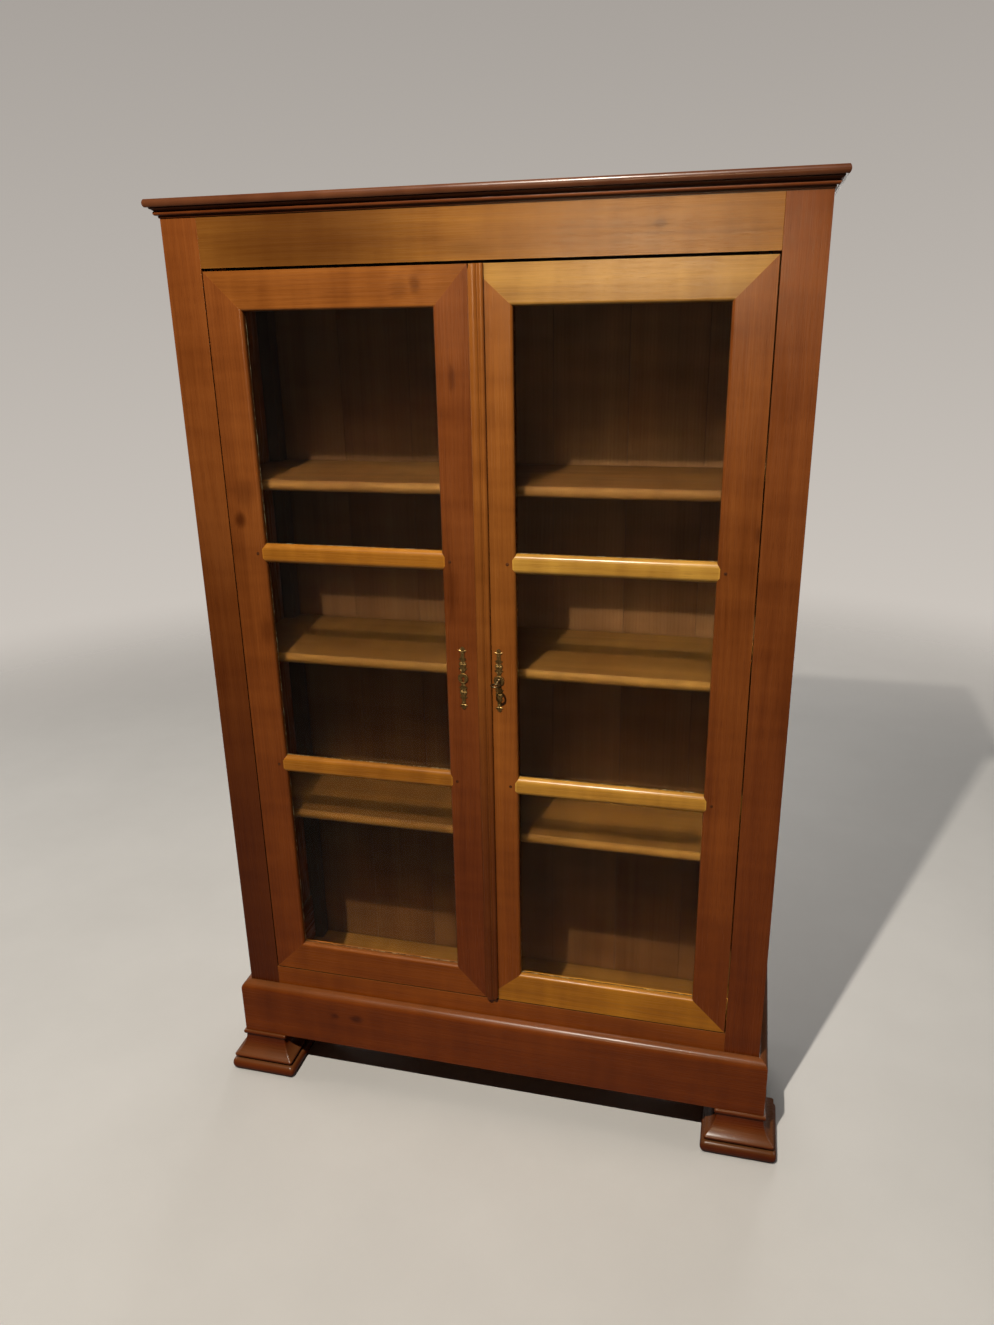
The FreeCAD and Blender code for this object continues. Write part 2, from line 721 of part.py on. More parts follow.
def door(side, meeting_edge, key_cut):
    """One glazed door, drawn with its hinge edge on the left and mirrored for the right."""
    width = meeting_edge - hinge_edge
    meeting_width = s.pane_margin + meeting_edge
    meeting_inner = width - meeting_width
    bottom_inner = s.frame_width
    top_inner = door_height - s.frame_width
    corner = (hinge_edge, front, door_level)

    def placed(label, piece):
        """Names a piece of this door, on its own side."""
        return node(label, piece if side == "left" else mirror(f"{label}_mirror", piece))

    def rounded_section(base, rise):
        """Half of a frame section: from the outer edge to the rounded inner edge and the glass rebate."""
        return [
            (base, ZERO),
            (base + (s.frame_width - s.round_over) * rise, ZERO),
            (base + s.frame_width * rise, s.round_over, s.round_over, rise),
            (base + s.frame_width * rise, s.lip_thickness),
            (base + (s.frame_width - s.rebate_width) * rise, s.lip_thickness),
            (base + (s.frame_width - s.rebate_width) * rise, door_thickness),
            (base, door_thickness),
        ]

    hinge_section = rounded_section(ZERO, 1)
    meeting_section = [
        (width, ZERO),
        (width, door_thickness),
        (meeting_inner + s.rebate_width, door_thickness),
        (meeting_inner + s.rebate_width, s.lip_thickness),
        (meeting_inner, s.lip_thickness),
        (meeting_inner, s.round_over),
        (meeting_inner + s.round_over, ZERO, s.round_over, 1),
    ]
    top_edge = rounded_section(door_height, -1)
    top_section = [(across, along, *mirrored(arc)) for along, across, *arc in top_edge]
    bottom_section = [(across, along, *mirrored(arc)) for along, across, *arc in hinge_section]
    hinge_face = [
        (ZERO, ZERO),
        (s.frame_width, bottom_inner),
        (s.frame_width, top_inner),
        (ZERO, door_height),
    ]
    meeting_face = [
        (width, ZERO),
        (width, door_height),
        (meeting_inner, top_inner),
        (meeting_inner, bottom_inner),
    ]
    top_face = [
        (ZERO, door_height),
        (s.frame_width, top_inner),
        (meeting_inner, top_inner),
        (width, door_height),
    ]
    bottom_face = [
        (ZERO, ZERO),
        (width, ZERO),
        (meeting_inner, bottom_inner),
        (s.frame_width, bottom_inner),
    ]

    def frame_piece(name, plane, section, face, length):
        """A run of the frame section with mitred ends."""
        run = extrude(f"{side}_{name}_run", plane, section, corner, length)
        mitre = extrude(f"{side}_{name}_mitre", "xz", face, corner, door_thickness)
        return common(f"{side}_{name}_mitred", run, mitre)

    hinge_stile = frame_piece("hinge_stile", "xy", hinge_section, hinge_face, door_height)
    meeting_stile = frame_piece("meeting_stile", "xy", meeting_section, meeting_face, door_height)
    top_rail = frame_piece("top_rail", "yz", top_section, top_face, width)
    bottom_rail = frame_piece("bottom_rail", "yz", bottom_section, bottom_face, width)

    tenon_y = (front + s.door_tenon_setback, front + s.door_tenon_setback + s.door_tenon_thickness)
    hinge_tenon_x = (hinge_edge + s.door_tenon_margin, hinge_edge + s.frame_width - s.rebate_width)
    meeting_tenon_x = (hinge_edge + meeting_inner + s.rebate_width, meeting_edge - s.door_tenon_margin)
    bottom_tenon_z = (door_level + s.door_tenon_margin, door_level + bottom_inner - s.rebate_width)
    top_tenon_z = (door_level + top_inner + s.rebate_width, door_top - s.door_tenon_margin)

    def tenons(name, z):
        """The two tenons of a rail."""
        hinge_tenon = box(f"{side}_{name}_hinge_tenon", hinge_tenon_x, tenon_y, z)
        meeting_tenon = box(f"{side}_{name}_meeting_tenon", meeting_tenon_x, tenon_y, z)
        return hinge_tenon, meeting_tenon

    top_tenons = tenons("top_rail", top_tenon_z)
    bottom_tenons = tenons("bottom_rail", bottom_tenon_z)
    hinge_cuts = (top_tenons[0], bottom_tenons[0], upper_plate, lower_plate)
    meeting_cuts = (top_tenons[1], bottom_tenons[1], *key_cut)
    hinge_stile = cut(f"{side}_hinge_stile_cut", hinge_stile, *hinge_cuts)
    meeting_stile = cut(f"{side}_meeting_stile_cut", meeting_stile, *meeting_cuts)
    top_rail = fuse(f"{side}_top_rail_tenoned", top_rail, *top_tenons)
    bottom_rail = fuse(f"{side}_bottom_rail_tenoned", bottom_rail, *bottom_tenons)
    placed(f"{side}_hinge_stile", hinge_stile)
    placed(f"{side}_meeting_stile", meeting_stile)
    placed(f"{side}_top_rail", cut(f"{side}_top_rail_cut", top_rail, upper_plate))
    placed(f"{side}_bottom_rail", cut(f"{side}_bottom_rail_cut", bottom_rail, lower_plate))

    # Glazing bars, coped over the rounded edges of the stiles
    pane_x = (s.frame_width - s.rebate_width, meeting_inner + s.rebate_width)
    bar_section = [
        (ZERO, s.bar_round),
        (s.bar_round, ZERO, s.bar_round, 1),
        (s.lip_thickness, ZERO),
        (s.lip_thickness, s.rebate_width),
        (s.bar_depth, s.rebate_width),
        (s.bar_depth, s.bar_height - s.rebate_width),
        (s.lip_thickness, s.bar_height - s.rebate_width),
        (s.lip_thickness, s.bar_height),
        (s.bar_round, s.bar_height),
        (ZERO, s.bar_height - s.bar_round, s.bar_round, 1),
    ]
    bar_levels = {"lower": s.lower_bar_level, "upper": s.upper_bar_level}
    for name, level in bar_levels.items():
        start = (hinge_edge + pane_x[0], front, level - s.bar_height / 2)
        run = extrude(f"{side}_{name}_bar_run", "yz", bar_section, start, pane_x[1] - pane_x[0])
        placed(f"{side}_bar_{name}", cut(f"{side}_{name}_bar_coped", run, hinge_stile, meeting_stile))

    # Three panes in the rebates, bedded in putty
    bar_half = s.bar_height / 2
    pane_bounds = [
        (door_level + bottom_inner, s.lower_bar_level - bar_half),
        (s.lower_bar_level + bar_half, s.upper_bar_level - bar_half),
        (s.upper_bar_level + bar_half, door_level + top_inner),
    ]
    glass_y = (front + s.lip_thickness, front + s.lip_thickness + s.glass_thickness)
    putty_y = (glass_y[1], glass_y[1] + s.putty_depth)
    rebate_x = (hinge_edge + pane_x[0], hinge_edge + pane_x[1])
    panes = []
    beads = []
    for index, (low, high) in enumerate(pane_bounds, start=1):
        rebate_z = (low - s.rebate_width, high + s.rebate_width)
        glass_x = (rebate_x[0] + s.glass_play, rebate_x[1] - s.glass_play)
        glass_z = (rebate_z[0] + s.glass_play, rebate_z[1] - s.glass_play)
        panes.append(box(f"{side}_pane_{index}", glass_x, glass_y, glass_z))
        full = box(f"{side}_putty_block_{index}", rebate_x, putty_y, rebate_z)
        opening = doc.addObject("Part::Wedge", f"{side}_putty_opening_{index}")
        wedge_bounds = {
            "Xmin": s.rebate_width,
            "Xmax": rebate_x[1] - rebate_x[0] - s.rebate_width,
            "X2min": s.putty_edge,
            "X2max": rebate_x[1] - rebate_x[0] - s.putty_edge,
            "Ymin": ZERO,
            "Ymax": s.putty_depth,
            "Zmin": s.rebate_width,
            "Zmax": rebate_z[1] - rebate_z[0] - s.rebate_width,
            "Z2min": s.putty_edge,
            "Z2max": rebate_z[1] - rebate_z[0] - s.putty_edge,
        }
        for path, size in wedge_bounds.items():
            bind(opening, path, size)
        bind_place(opening, (rebate_x[0], putty_y[0], rebate_z[0]))
        beads.append(cut(f"{side}_putty_ring_{index}", full, opening))
    placed(f"{side}_panes", group(f"{side}_pane_set", *panes))
    placed(f"{side}_putty", group(f"{side}_putty_set", *beads))


# Escutcheons with their keyholes

escutcheon_y = front - s.escutcheon_thickness


def escutcheon(name, x):
    """A long plate of a stem and five discs."""
    half_length = s.escutcheon_length / 2
    lobe_place = half_length * s.lobe_place_share
    tip_place = half_length - s.escutcheon_tip_radius
    discs = [
        (s.escutcheon_middle_radius, ZERO),
        (s.escutcheon_lobe_radius, lobe_place),
        (s.escutcheon_lobe_radius, -lobe_place),
        (s.escutcheon_tip_radius, tip_place),
        (s.escutcheon_tip_radius, -tip_place),
    ]
    stem_x = (x - s.escutcheon_stem_width / 2, x + s.escutcheon_stem_width / 2)
    stem_z = (s.escutcheon_level - tip_place, s.escutcheon_level + tip_place)
    pieces = [box(f"{name}_stem", stem_x, (escutcheon_y, front), stem_z)]
    for index, (radius, rise) in enumerate(discs):
        centre = (x, escutcheon_y, s.escutcheon_level + rise)
        pieces.append(rod(f"{name}_disc_{index}", "y", radius, centre, s.escutcheon_thickness))
    return fuse(f"{name}_plate", *pieces)


# Lock and key, on the right door

key_x = s.escutcheon_inset
key_z = s.escutcheon_level
key_hole_radius = s.key_radius + s.key_play
case_x = (right_edge + s.case_margin, right_edge + s.case_margin + s.case_width)
case_y = (door_back, door_back + s.case_depth)
case_z = (key_z - s.case_height / 2, key_z + s.case_height / 2)
bit_slot = s.bit_length + s.key_play
hole_start = (key_x, escutcheon_y - s.overrun, key_z)
hole_length = s.escutcheon_thickness + door_thickness + s.overrun * 2
key_hole = rod("key_hole", "y", key_hole_radius, hole_start, hole_length)
slot_x = (key_x - s.bit_thickness / 2 - s.key_play, key_x + s.bit_thickness / 2 + s.key_play)
slot_y = (escutcheon_y - s.overrun, door_back + s.overrun)
key_slot = box("key_slot", slot_x, slot_y, (key_z - bit_slot, key_z))
key_opening = fuse("key_opening", key_hole, key_slot)

node("right_escutcheon", cut("escutcheon_cut", escutcheon("escutcheon", key_x), key_opening))
node("left_escutcheon", mirror("escutcheon_mirror", nodes["right_escutcheon"]))

bolt_low = key_z + s.lock_bolt_rise
lock_bolt_x = (case_x[0], case_x[0] + s.lock_bolt_length)
lock_bolt_y = (door_back + s.lock_bolt_gap, door_back + s.lock_bolt_gap + s.lock_bolt_thickness)
lock_bolt_z = (bolt_low, bolt_low + s.lock_bolt_height)
bolt_bar = box("lock_bolt_bar", lock_bolt_x, lock_bolt_y, lock_bolt_z)
talon_x = (key_x + s.talon_offset, key_x + s.talon_offset + s.talon_width)
talon_y = (lock_bolt_y[0] - s.overrun, lock_bolt_y[1] + s.overrun)
talon = box("lock_bolt_talon", talon_x, talon_y, (bolt_low - s.overrun, bolt_low + s.talon_depth))
node("lock_bolt", cut("lock_bolt_cut", bolt_bar, talon))

case_block = box("lock_case_block", case_x, case_y, case_z)
cavity_x = (case_x[0] + s.case_wall, case_x[1] - s.case_wall)
cavity_z = (case_z[0] + s.case_wall, case_z[1] - s.case_wall)
cavity_y = (case_y[0] - s.overrun, case_y[1] - s.case_wall)
case_cavity = box("lock_case_cavity", cavity_x, cavity_y, cavity_z)
port_x = (case_x[0] - s.overrun, cavity_x[0] + s.overrun)
port_y = (lock_bolt_y[0] - s.lock_bolt_play, lock_bolt_y[1] + s.lock_bolt_play)
port_z = (lock_bolt_z[0] - s.lock_bolt_play, lock_bolt_z[1] + s.lock_bolt_play)
bolt_port = box("lock_bolt_port", port_x, port_y, port_z)
node("lock_case", cut("lock_case_cut", case_block, case_cavity, bolt_port))

bow_y = front - s.key_reach + s.bow_radius + s.bow_wire_radius
shank_start = bow_y + s.bow_radius
shank_end = cavity_y[1] - s.key_play
shank = rod("key_shank", "y", s.key_radius, (key_x, shank_start, key_z), shank_end - shank_start)
bow = doc.addObject("Part::Torus", "key_bow")
bind(bow, "Radius1", s.bow_radius)
bind(bow, "Radius2", s.bow_wire_radius)
bind_place(bow, (key_x, bow_y, key_z))
bit_y = (lock_bolt_y[0], lock_bolt_y[0] + s.bit_width)
bit_z = (key_z - s.bit_thickness / 2, key_z + s.bit_thickness / 2)
bit = box("key_bit", (key_x, key_x + s.bit_length), bit_y, bit_z)
node("key", fuse("key_piece", shank, bow, bit))

door("left", left_edge, ())
door("right", -right_edge, (mirror("key_opening_mirror", key_opening),))


# Cover strip on the right door

strip_corner = (right_edge, front - s.strip_height, door_level)
bead_start = s.strip_band_width + s.strip_groove_width
bead_radius = (s.strip_width - bead_start) * s.bead_round_share
strip_section = [
    (ZERO, s.strip_height),
    (ZERO, s.strip_band_drop),
    (s.strip_band_width, s.strip_band_drop, bulge_radius(s.strip_band_width, s.strip_band_rise), 1),
    (s.strip_band_width, s.strip_groove_depth),
    (bead_start, s.strip_groove_depth),
    (s.strip_width, s.strip_groove_depth, bead_radius, 1),
    (s.strip_width, s.strip_height),
]
strip_face = [
    (s.strip_end_round, ZERO, s.strip_end_round, 1),
    (s.strip_width - s.strip_end_round, ZERO),
    (s.strip_width, s.strip_end_round, s.strip_end_round, 1),
    (s.strip_width, door_height),
    (s.strip_end_round, door_height),
    (ZERO, door_height - s.strip_end_round, s.strip_end_round, 1),
    (ZERO, s.strip_end_round),
]
strip_run = extrude("strip_run", "xy", strip_section, strip_corner, door_height)
strip_shape = extrude("strip_shape", "xz", strip_face, strip_corner, s.strip_height)
node("cover_strip", common("strip_solid", strip_run, strip_shape))


# Slide bolts that hold the left door

def slide_bolt(name, edge, rise):
    """A round bolt in two staples on a plate, at rest just clear of its hole."""
    tip = edge - s.slide_bolt_rest_gap * rise
    tail = tip - s.slide_bolt_length * rise
    plate_tail = tail + s.bolt_plate_tail * rise
    plate_head = plate_tail + s.bolt_plate_length * rise
    plate_x = (bolt_x - s.bolt_plate_width / 2, bolt_x + s.bolt_plate_width / 2)
    staple_x = (bolt_x - s.staple_width / 2, bolt_x + s.staple_width / 2)
    plate_y = (door_back, door_back + s.bolt_plate_thickness)
    staple_y = (plate_y[1], plate_y[1] + s.staple_depth)
    plate = box(f"{name}_plate", plate_x, plate_y, span(plate_tail, plate_head))
    tail_staple_z = span(plate_tail, plate_tail + s.staple_height * rise)
    head_staple_z = span(plate_head, plate_head - s.staple_height * rise)
    staples = [
        box(f"{name}_tail_staple", staple_x, staple_y, tail_staple_z),
        box(f"{name}_head_staple", staple_x, staple_y, head_staple_z),
    ]
    low = span(tip, tail)[0]
    bar = rod(f"{name}_bar", "z", s.slide_bolt_radius, (bolt_x, bolt_y, low), s.slide_bolt_length)
    bore_radius = s.slide_bolt_radius + s.slide_bolt_play
    bore = rod(f"{name}_bore", "z", bore_radius, (bolt_x, bolt_y, low), s.slide_bolt_length)
    middle = plate_tail + (s.bolt_plate_length - s.slide_bolt_travel) / 2 * rise
    knob_start = (bolt_x, bolt_y, middle)
    knob_length = s.slide_bolt_radius + s.bolt_knob_length
    knob = rod(f"{name}_knob", "y", s.bolt_knob_radius, knob_start, knob_length)
    node(name, fuse(f"{name}_piece", bar, knob))
    return cut(f"{name}_guide", fuse(f"{name}_guide_block", plate, *staples), bore)


guides = [
    slide_bolt("left_top_bolt", frieze_level - s.stop_lap, 1),
    slide_bolt("left_bottom_bolt", sill_top + s.stop_lap, -1),
]
node("left_bolt_plates", group("bolt_plate_pair", *guides))


# Build, check and write

doc.recompute()
for thing in doc.Objects:
    if "Invalid" in thing.State or "Error" in thing.State:
        raise RuntimeError(f"{thing.Label} failed: {thing.State}")
for label, thing in nodes.items():
    if thing.Shape.isNull() or not thing.Shape.isValid():
        raise RuntimeError(f"{label} has no valid shape")
os.makedirs("parts", exist_ok=True)
for label, thing in nodes.items():
    thing.Shape.exportStep(f"parts/{label}.step")
    print(label, len(thing.Shape.Solids), round(thing.Shape.Volume))
print(len(nodes), "nodes")
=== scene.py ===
import json
import math
import random

import bmesh
import bpy
from mathutils import Matrix, Vector

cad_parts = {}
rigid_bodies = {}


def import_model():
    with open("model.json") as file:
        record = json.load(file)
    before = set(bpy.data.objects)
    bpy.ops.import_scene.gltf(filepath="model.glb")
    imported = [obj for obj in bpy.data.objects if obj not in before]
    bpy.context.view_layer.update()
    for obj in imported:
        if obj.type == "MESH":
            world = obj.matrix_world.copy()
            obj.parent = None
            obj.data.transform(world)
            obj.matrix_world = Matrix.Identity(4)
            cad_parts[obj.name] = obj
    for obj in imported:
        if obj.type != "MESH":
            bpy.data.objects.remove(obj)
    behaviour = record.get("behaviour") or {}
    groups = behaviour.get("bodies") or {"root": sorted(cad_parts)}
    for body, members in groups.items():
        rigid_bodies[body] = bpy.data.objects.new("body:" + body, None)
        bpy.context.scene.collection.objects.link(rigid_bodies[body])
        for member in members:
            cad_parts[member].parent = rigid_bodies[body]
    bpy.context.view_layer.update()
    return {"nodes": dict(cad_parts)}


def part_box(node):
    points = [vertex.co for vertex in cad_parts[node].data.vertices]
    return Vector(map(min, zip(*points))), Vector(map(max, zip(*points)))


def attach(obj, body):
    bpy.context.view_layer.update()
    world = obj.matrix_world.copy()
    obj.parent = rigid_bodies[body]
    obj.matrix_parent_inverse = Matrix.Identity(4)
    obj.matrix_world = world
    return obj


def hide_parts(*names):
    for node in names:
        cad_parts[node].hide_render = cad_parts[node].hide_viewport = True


# A glazed cherry bookcase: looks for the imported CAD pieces, the front feet with their fine mouldings, a bead
# in the cornice, and small brass, iron and wooden details.
# Metres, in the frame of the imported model: +Z up, front towards -Y.

for leftover in list(bpy.data.objects):
    bpy.data.objects.remove(leftover)
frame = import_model()
nodes = frame["nodes"]
MM = 0.001
FULL_TURN = 2 * math.pi
SIDES = ("left", "right")


# Colours, written as they look on screen

def colour(red, green, blue):
    """A screen colour, 0 to 255, as linear light."""
    linear = []
    for level in (red / 255, green / 255, blue / 255):
        linear.append(level / 12.92 if level <= 0.04045 else ((level + 0.055) / 1.055) ** 2.4)
    return (*linear, 1.0)


def scaled(tone, red, green, blue):
    """A colour with each channel multiplied."""
    return (min(tone[0] * red, 1), min(tone[1] * green, 1), min(tone[2] * blue, 1), 1.0)


HONEY = colour(146, 84, 32)
STRAW = colour(141, 88, 32)
# A paler tone for the right top rail: painted sheen
PAINTED_SHEEN_HONEY = colour(170, 120, 54)
AMBER = colour(128, 68, 26)
RUSSET = colour(122, 63, 25)
CHESTNUT = colour(108, 53, 21)
UMBER = colour(98, 55, 32)
SHELF_TONE = colour(122, 82, 37)
# A darker tone for the upper shelf: painted shade
PAINTED_SHADE_SHELF_TONE = colour(104, 66, 31)
OLD_BOARD = colour(70, 45, 30)
BACK_TONE = colour(120, 80, 48)
DRY_BOARD = colour(104, 74, 46)
GOLDEN = colour(164, 102, 31)
LOW_GOLDEN = colour(172, 114, 38)
# Paler tones for the right door's bars and bottom rail: painted sheen
PAINTED_SHEEN_GOLD = colour(190, 138, 56)
LOW_PAINTED_SHEEN_GOLD = colour(206, 156, 68)
# A pale tone for upward faces low down: painted sheen
PAINTED_TOP_SHEEN = colour(161, 131, 86)

# What figure, knots and painted shade, pores, painted shade in corners and joints, and wear do to the red,
# green and blue of a wood's tone
DARK_FIGURE = (0.56, 0.48, 0.42)
PALE_FIGURE = (1.42, 1.55, 1.6)
KNOT_AND_PAINTED_SHADE = (0.24, 0.15, 0.11)
PORE_SHADE = (0.30, 0.22, 0.18)
CREVICE_PAINTED_SHADE = (0.22, 0.16, 0.12)
RUBBED_EDGE = (1.7, 1.8, 1.9)
# Painted shade that makes the piece darker and redder low down, painted shade on the tops of the shelves, and
# painted light on their fronts
LOW_PAINTED_SHADE = (1.0, 0.63, 0.12, 1.0)
SHELF_TOP_PAINTED_SHADE = (0.72, 0.68, 0.64, 1.0)
SHELF_FRONT_PAINTED_LIGHT = (1.45, 1.5, 1.4, 1.0)

# Grain direction and tone of each wooden piece; some tones hold painted sheen or painted shade, as marked
WOODS = {
    "frieze_rail": ("x", STRAW),
    "sill_rail": ("x", HONEY),
    "front_post_left": ("z", AMBER),
    "front_post_right": ("z", RUSSET),
    "cornice_cap": ("x", UMBER),
    "cornice_cove_front": ("x", CHESTNUT),
    "plinth_front": ("x", AMBER),
    "plinth_left": ("y", AMBER),
    # Darker than the left plinth: painted shade on the side away from the lamp
    "plinth_right": ("y", CHESTNUT),
    "foot_front_left": ("x", CHESTNUT),
    "foot_front_right": ("x", CHESTNUT),
    "left_hinge_stile": ("z", AMBER),
    "left_meeting_stile": ("z", RUSSET),
    "left_top_rail": ("x", HONEY),
    "left_bottom_rail": ("x", HONEY),
    "left_bar_lower": ("x", LOW_GOLDEN),
    "left_bar_upper": ("x", GOLDEN),
    "right_hinge_stile": ("z", AMBER),
    "right_meeting_stile": ("z", HONEY),
    # The right door's rails and bars are paler than the left door's: painted sheen
    "right_top_rail": ("x", PAINTED_SHEEN_HONEY),
    "right_bottom_rail": ("x", PAINTED_SHEEN_GOLD),
    "right_bar_lower": ("x", LOW_PAINTED_SHEEN_GOLD),
    "right_bar_upper": ("x", PAINTED_SHEEN_GOLD),
    "cover_strip": ("z", HONEY),
    "side_panel_left": ("z", RUSSET),
    "side_panel_right": ("z", RUSSET),
    "side_top_rail_left": ("y", RUSSET),
    "side_top_rail_right": ("y", RUSSET),
    "side_bottom_rail_left": ("y", RUSSET),
    "side_bottom_rail_right": ("y", RUSSET),
}
DULL_WOODS = {
    "shelf_lower": ("x", SHELF_TONE),
    "shelf_middle": ("x", SHELF_TONE),
    # A darker tone than the other shelves: painted shade
    "shelf_upper": ("x", PAINTED_SHADE_SHELF_TONE),
    "cornice_cove_left": ("y", CHESTNUT),
    "cornice_cove_right": ("y", CHESTNUT),
    "rear_post_left": ("z", OLD_BOARD),
    "rear_post_right": ("z", OLD_BOARD),
    "back_rails": ("x", OLD_BOARD),
    "back_boards": ("z", BACK_TONE),
    "floor_board": ("x", SHELF_TONE),
    "floor_bearers": ("x", DRY_BOARD),
    "shelf_cleats": ("y", OLD_BOARD),
    "rear_feet": ("z", DRY_BOARD),
    "top_door_stop": ("x", OLD_BOARD),
    "bottom_door_stop": ("x", OLD_BOARD),
}
# Boards of the back, and how far the figure jumps along the grain from one board to the next
BACK_BOARDS = 7
BOARD_JUMP = 3.7
# Knots, and wide dark clouds of painted shade on the shelves, the back, the left post, the cover strip and the
# frieze's left: X and Z of the place, reach along X and Z, depth of tone
KNOTS_AND_PAINTED_SHADE = {
    # Wide dark clouds on the left of the shelves and the back: painted shade
    "shelf_lower": [((-0.330, 0.632), 420 * MM, 90 * MM, 0.5)],
    "shelf_middle": [((-0.330, 0.988), 420 * MM, 90 * MM, 0.5)],
    "back_boards": [((-0.330, 0.900), 420 * MM, 2000 * MM, 0.4)],
    # A long dark cloud low on the left post: painted shade
    "front_post_left": [((-0.526, 0.450), 400 * MM, 950 * MM, 0.62)],
    # A long dark cloud low on the cover strip: painted shade
    "cover_strip": [((0.006, 0.400), 60 * MM, 750 * MM, 0.6)],
    "left_hinge_stile": [
        ((-0.466, 1.281), 13 * MM, 17 * MM, 0.75),
        ((-0.452, 1.330), 22 * MM, 34 * MM, 0.35),
        ((-0.434, 1.062), 16 * MM, 30 * MM, 0.35),
    ],
    "left_meeting_stile": [
        ((-0.038, 1.540), 7 * MM, 26 * MM, 0.5),
        ((-0.052, 1.160), 12 * MM, 60 * MM, 0.3),
    ],
    "left_top_rail": [
        ((-0.100, 1.690), 12 * MM, 17 * MM, 0.5),
        ((-0.128, 1.684), 18 * MM, 22 * MM, 0.35),
    ],
    "right_hinge_stile": [((0.486, 1.285), 6 * MM, 15 * MM, 0.45)],
    "plinth_front": [
        ((-0.354, 0.170), 11 * MM, 8 * MM, 0.6),
        ((-0.302, 0.172), 17 * MM, 11 * MM, 0.7),
    ],
    "frieze_rail": [
        ((0.307, 1.770), 12 * MM, 9 * MM, 0.5),
        # A wide dark cloud on the frieze's left: painted shade
        ((-0.310, 1.768), 250 * MM, 120 * MM, 0.68),
        ((-0.010, 1.742), 60 * MM, 16 * MM, 0.3),
    ],
}


# Materials

class Tree:
    """Short ways to add and join the shader nodes of a material or a world."""

    def __init__(self, owner):
        owner.use_nodes = True
        self.owner = owner
        self.nodes = owner.node_tree.nodes
        self.links = owner.node_tree.links
        self.shader = self.nodes.get("Principled BSDF")
        self.output = self.nodes.get("Material Output")

    def feed(self, socket, value):
        """Sets a socket or joins another node's output to it."""
        if isinstance(value, bpy.types.NodeSocket):
            self.links.new(value, socket)
        else:
            socket.default_value = value

    def add(self, kind, inputs=(), **settings):
        """A node with its settings and its inputs by name or number."""
        added = self.nodes.new(kind)
        for key, value in settings.items():
            setattr(added, key, value)
        for key, value in dict(inputs).items():
            self.feed(added.inputs[key], value)
        return added

    def shade(self, **inputs):
        """Feeds the main shader, with underscores for the spaces in a socket's name."""
        for key, value in inputs.items():
            self.feed(self.shader.inputs[key.replace("_", " ")], value)

    def math(self, operation, first, second=0.0, clamp=False):
        made = self.add("ShaderNodeMath", {0: first, 1: second}, operation=operation, use_clamp=clamp)
        return made.outputs[0]

    def vector(self, operation, first, second=(0, 0, 0)):
        made = self.add("ShaderNodeVectorMath", {0: first, 1: second}, operation=operation)
        return made.outputs["Value" if operation in ("LENGTH", "DOT_PRODUCT") else "Vector"]

    def noise(self, place, scale=1.0, detail=2.0, roughness=0.5):
        inputs = {"Vector": place, "Scale": scale, "Detail": detail, "Roughness": roughness}
        return self.add("ShaderNodeTexNoise", inputs).outputs["Fac"]

    def spread(self, value, low, high, to_low=0.0, to_high=1.0, smooth=False):
        """A value remapped from one range to another and held inside it."""
        inputs = {"Value": value, "From Min": low, "From Max": high, "To Min": to_low, "To Max": to_high}
        kind = "SMOOTHSTEP" if smooth else "LINEAR"
        return self.add("ShaderNodeMapRange", inputs, interpolation_type=kind).outputs["Result"]

    def mix(self, share, first, second, blend="MIX"):
        inputs = {0: share, 6: first, 7: second}
        return self.add("ShaderNodeMix", inputs, data_type="RGBA", blend_type=blend).outputs[2]

    def ramp(self, value, stops):
        made = self.add("ShaderNodeValToRGB", {"Fac": value})
        elements = made.color_ramp.elements
        while len(elements) < len(stops):
            elements.new(0.5)
        for element, (place, tone) in zip(elements, stops):
            element.position = place
            element.color = tone
        return made.outputs["Color"]

    def place(self):
        """Where a point lies on its piece at rest."""
        return self.add("ShaderNodeTexCoord").outputs["Object"]

    def split(self, vector):
        """The X, Y and Z of a vector."""
        return self.add("ShaderNodeSeparateXYZ", {"Vector": vector}).outputs

    def bump(self, height, strength, distance):
        inputs = {"Height": height, "Strength": strength, "Distance": distance}
        return self.add("ShaderNodeBump", inputs).outputs["Normal"]

    def crevices(self, distance):
        """1 in the open and towards 0 in corners and joints."""
        node = self.add("ShaderNodeAmbientOcclusion", {"Distance": distance}, samples=4)
        return node.outputs["AO"]

    def seen_by_camera(self):
        """1 for what the camera sees, straight or through glass, and 0 for light that lands on surfaces."""
        rays = self.add("ShaderNodeLightPath").outputs
        undiffused = self.math("LESS_THAN", rays["Diffuse Depth"], 0.5)
        through_glass = self.math("MULTIPLY", rays["Is Transmission Ray"], undiffused)
        return self.math("MAXIMUM", rays["Is Camera Ray"], through_glass)

    def facing(self):
        """Which way the surface faces."""
        return self.add("ShaderNodeNewGeometry").outputs["Normal"]

    def edges(self, radius):
        """0 on flats and towards 1 on sharp edges."""
        soft = self.add("ShaderNodeBevel", {"Radius": radius}, samples=4).outputs["Normal"]
        return self.math("SUBTRACT", 1.0, self.vector("DOT_PRODUCT", soft, self.facing()), clamp=True)

    def blend_surface(self, share, other):
        """Lets another shader take over a share of the surface."""
        blend = self.add("ShaderNodeMixShader", {0: share, 1: self.shader.outputs[0], 2: other.outputs[0]})
        self.links.new(blend.outputs[0], self.output.inputs["Surface"])


# Axes of the log for each direction of the grain: two across it, then the one along it
LOG_AXES = {"x": ("Y", "Z", "X"), "y": ("X", "Z", "Y"), "z": ("X", "Y", "Z")}


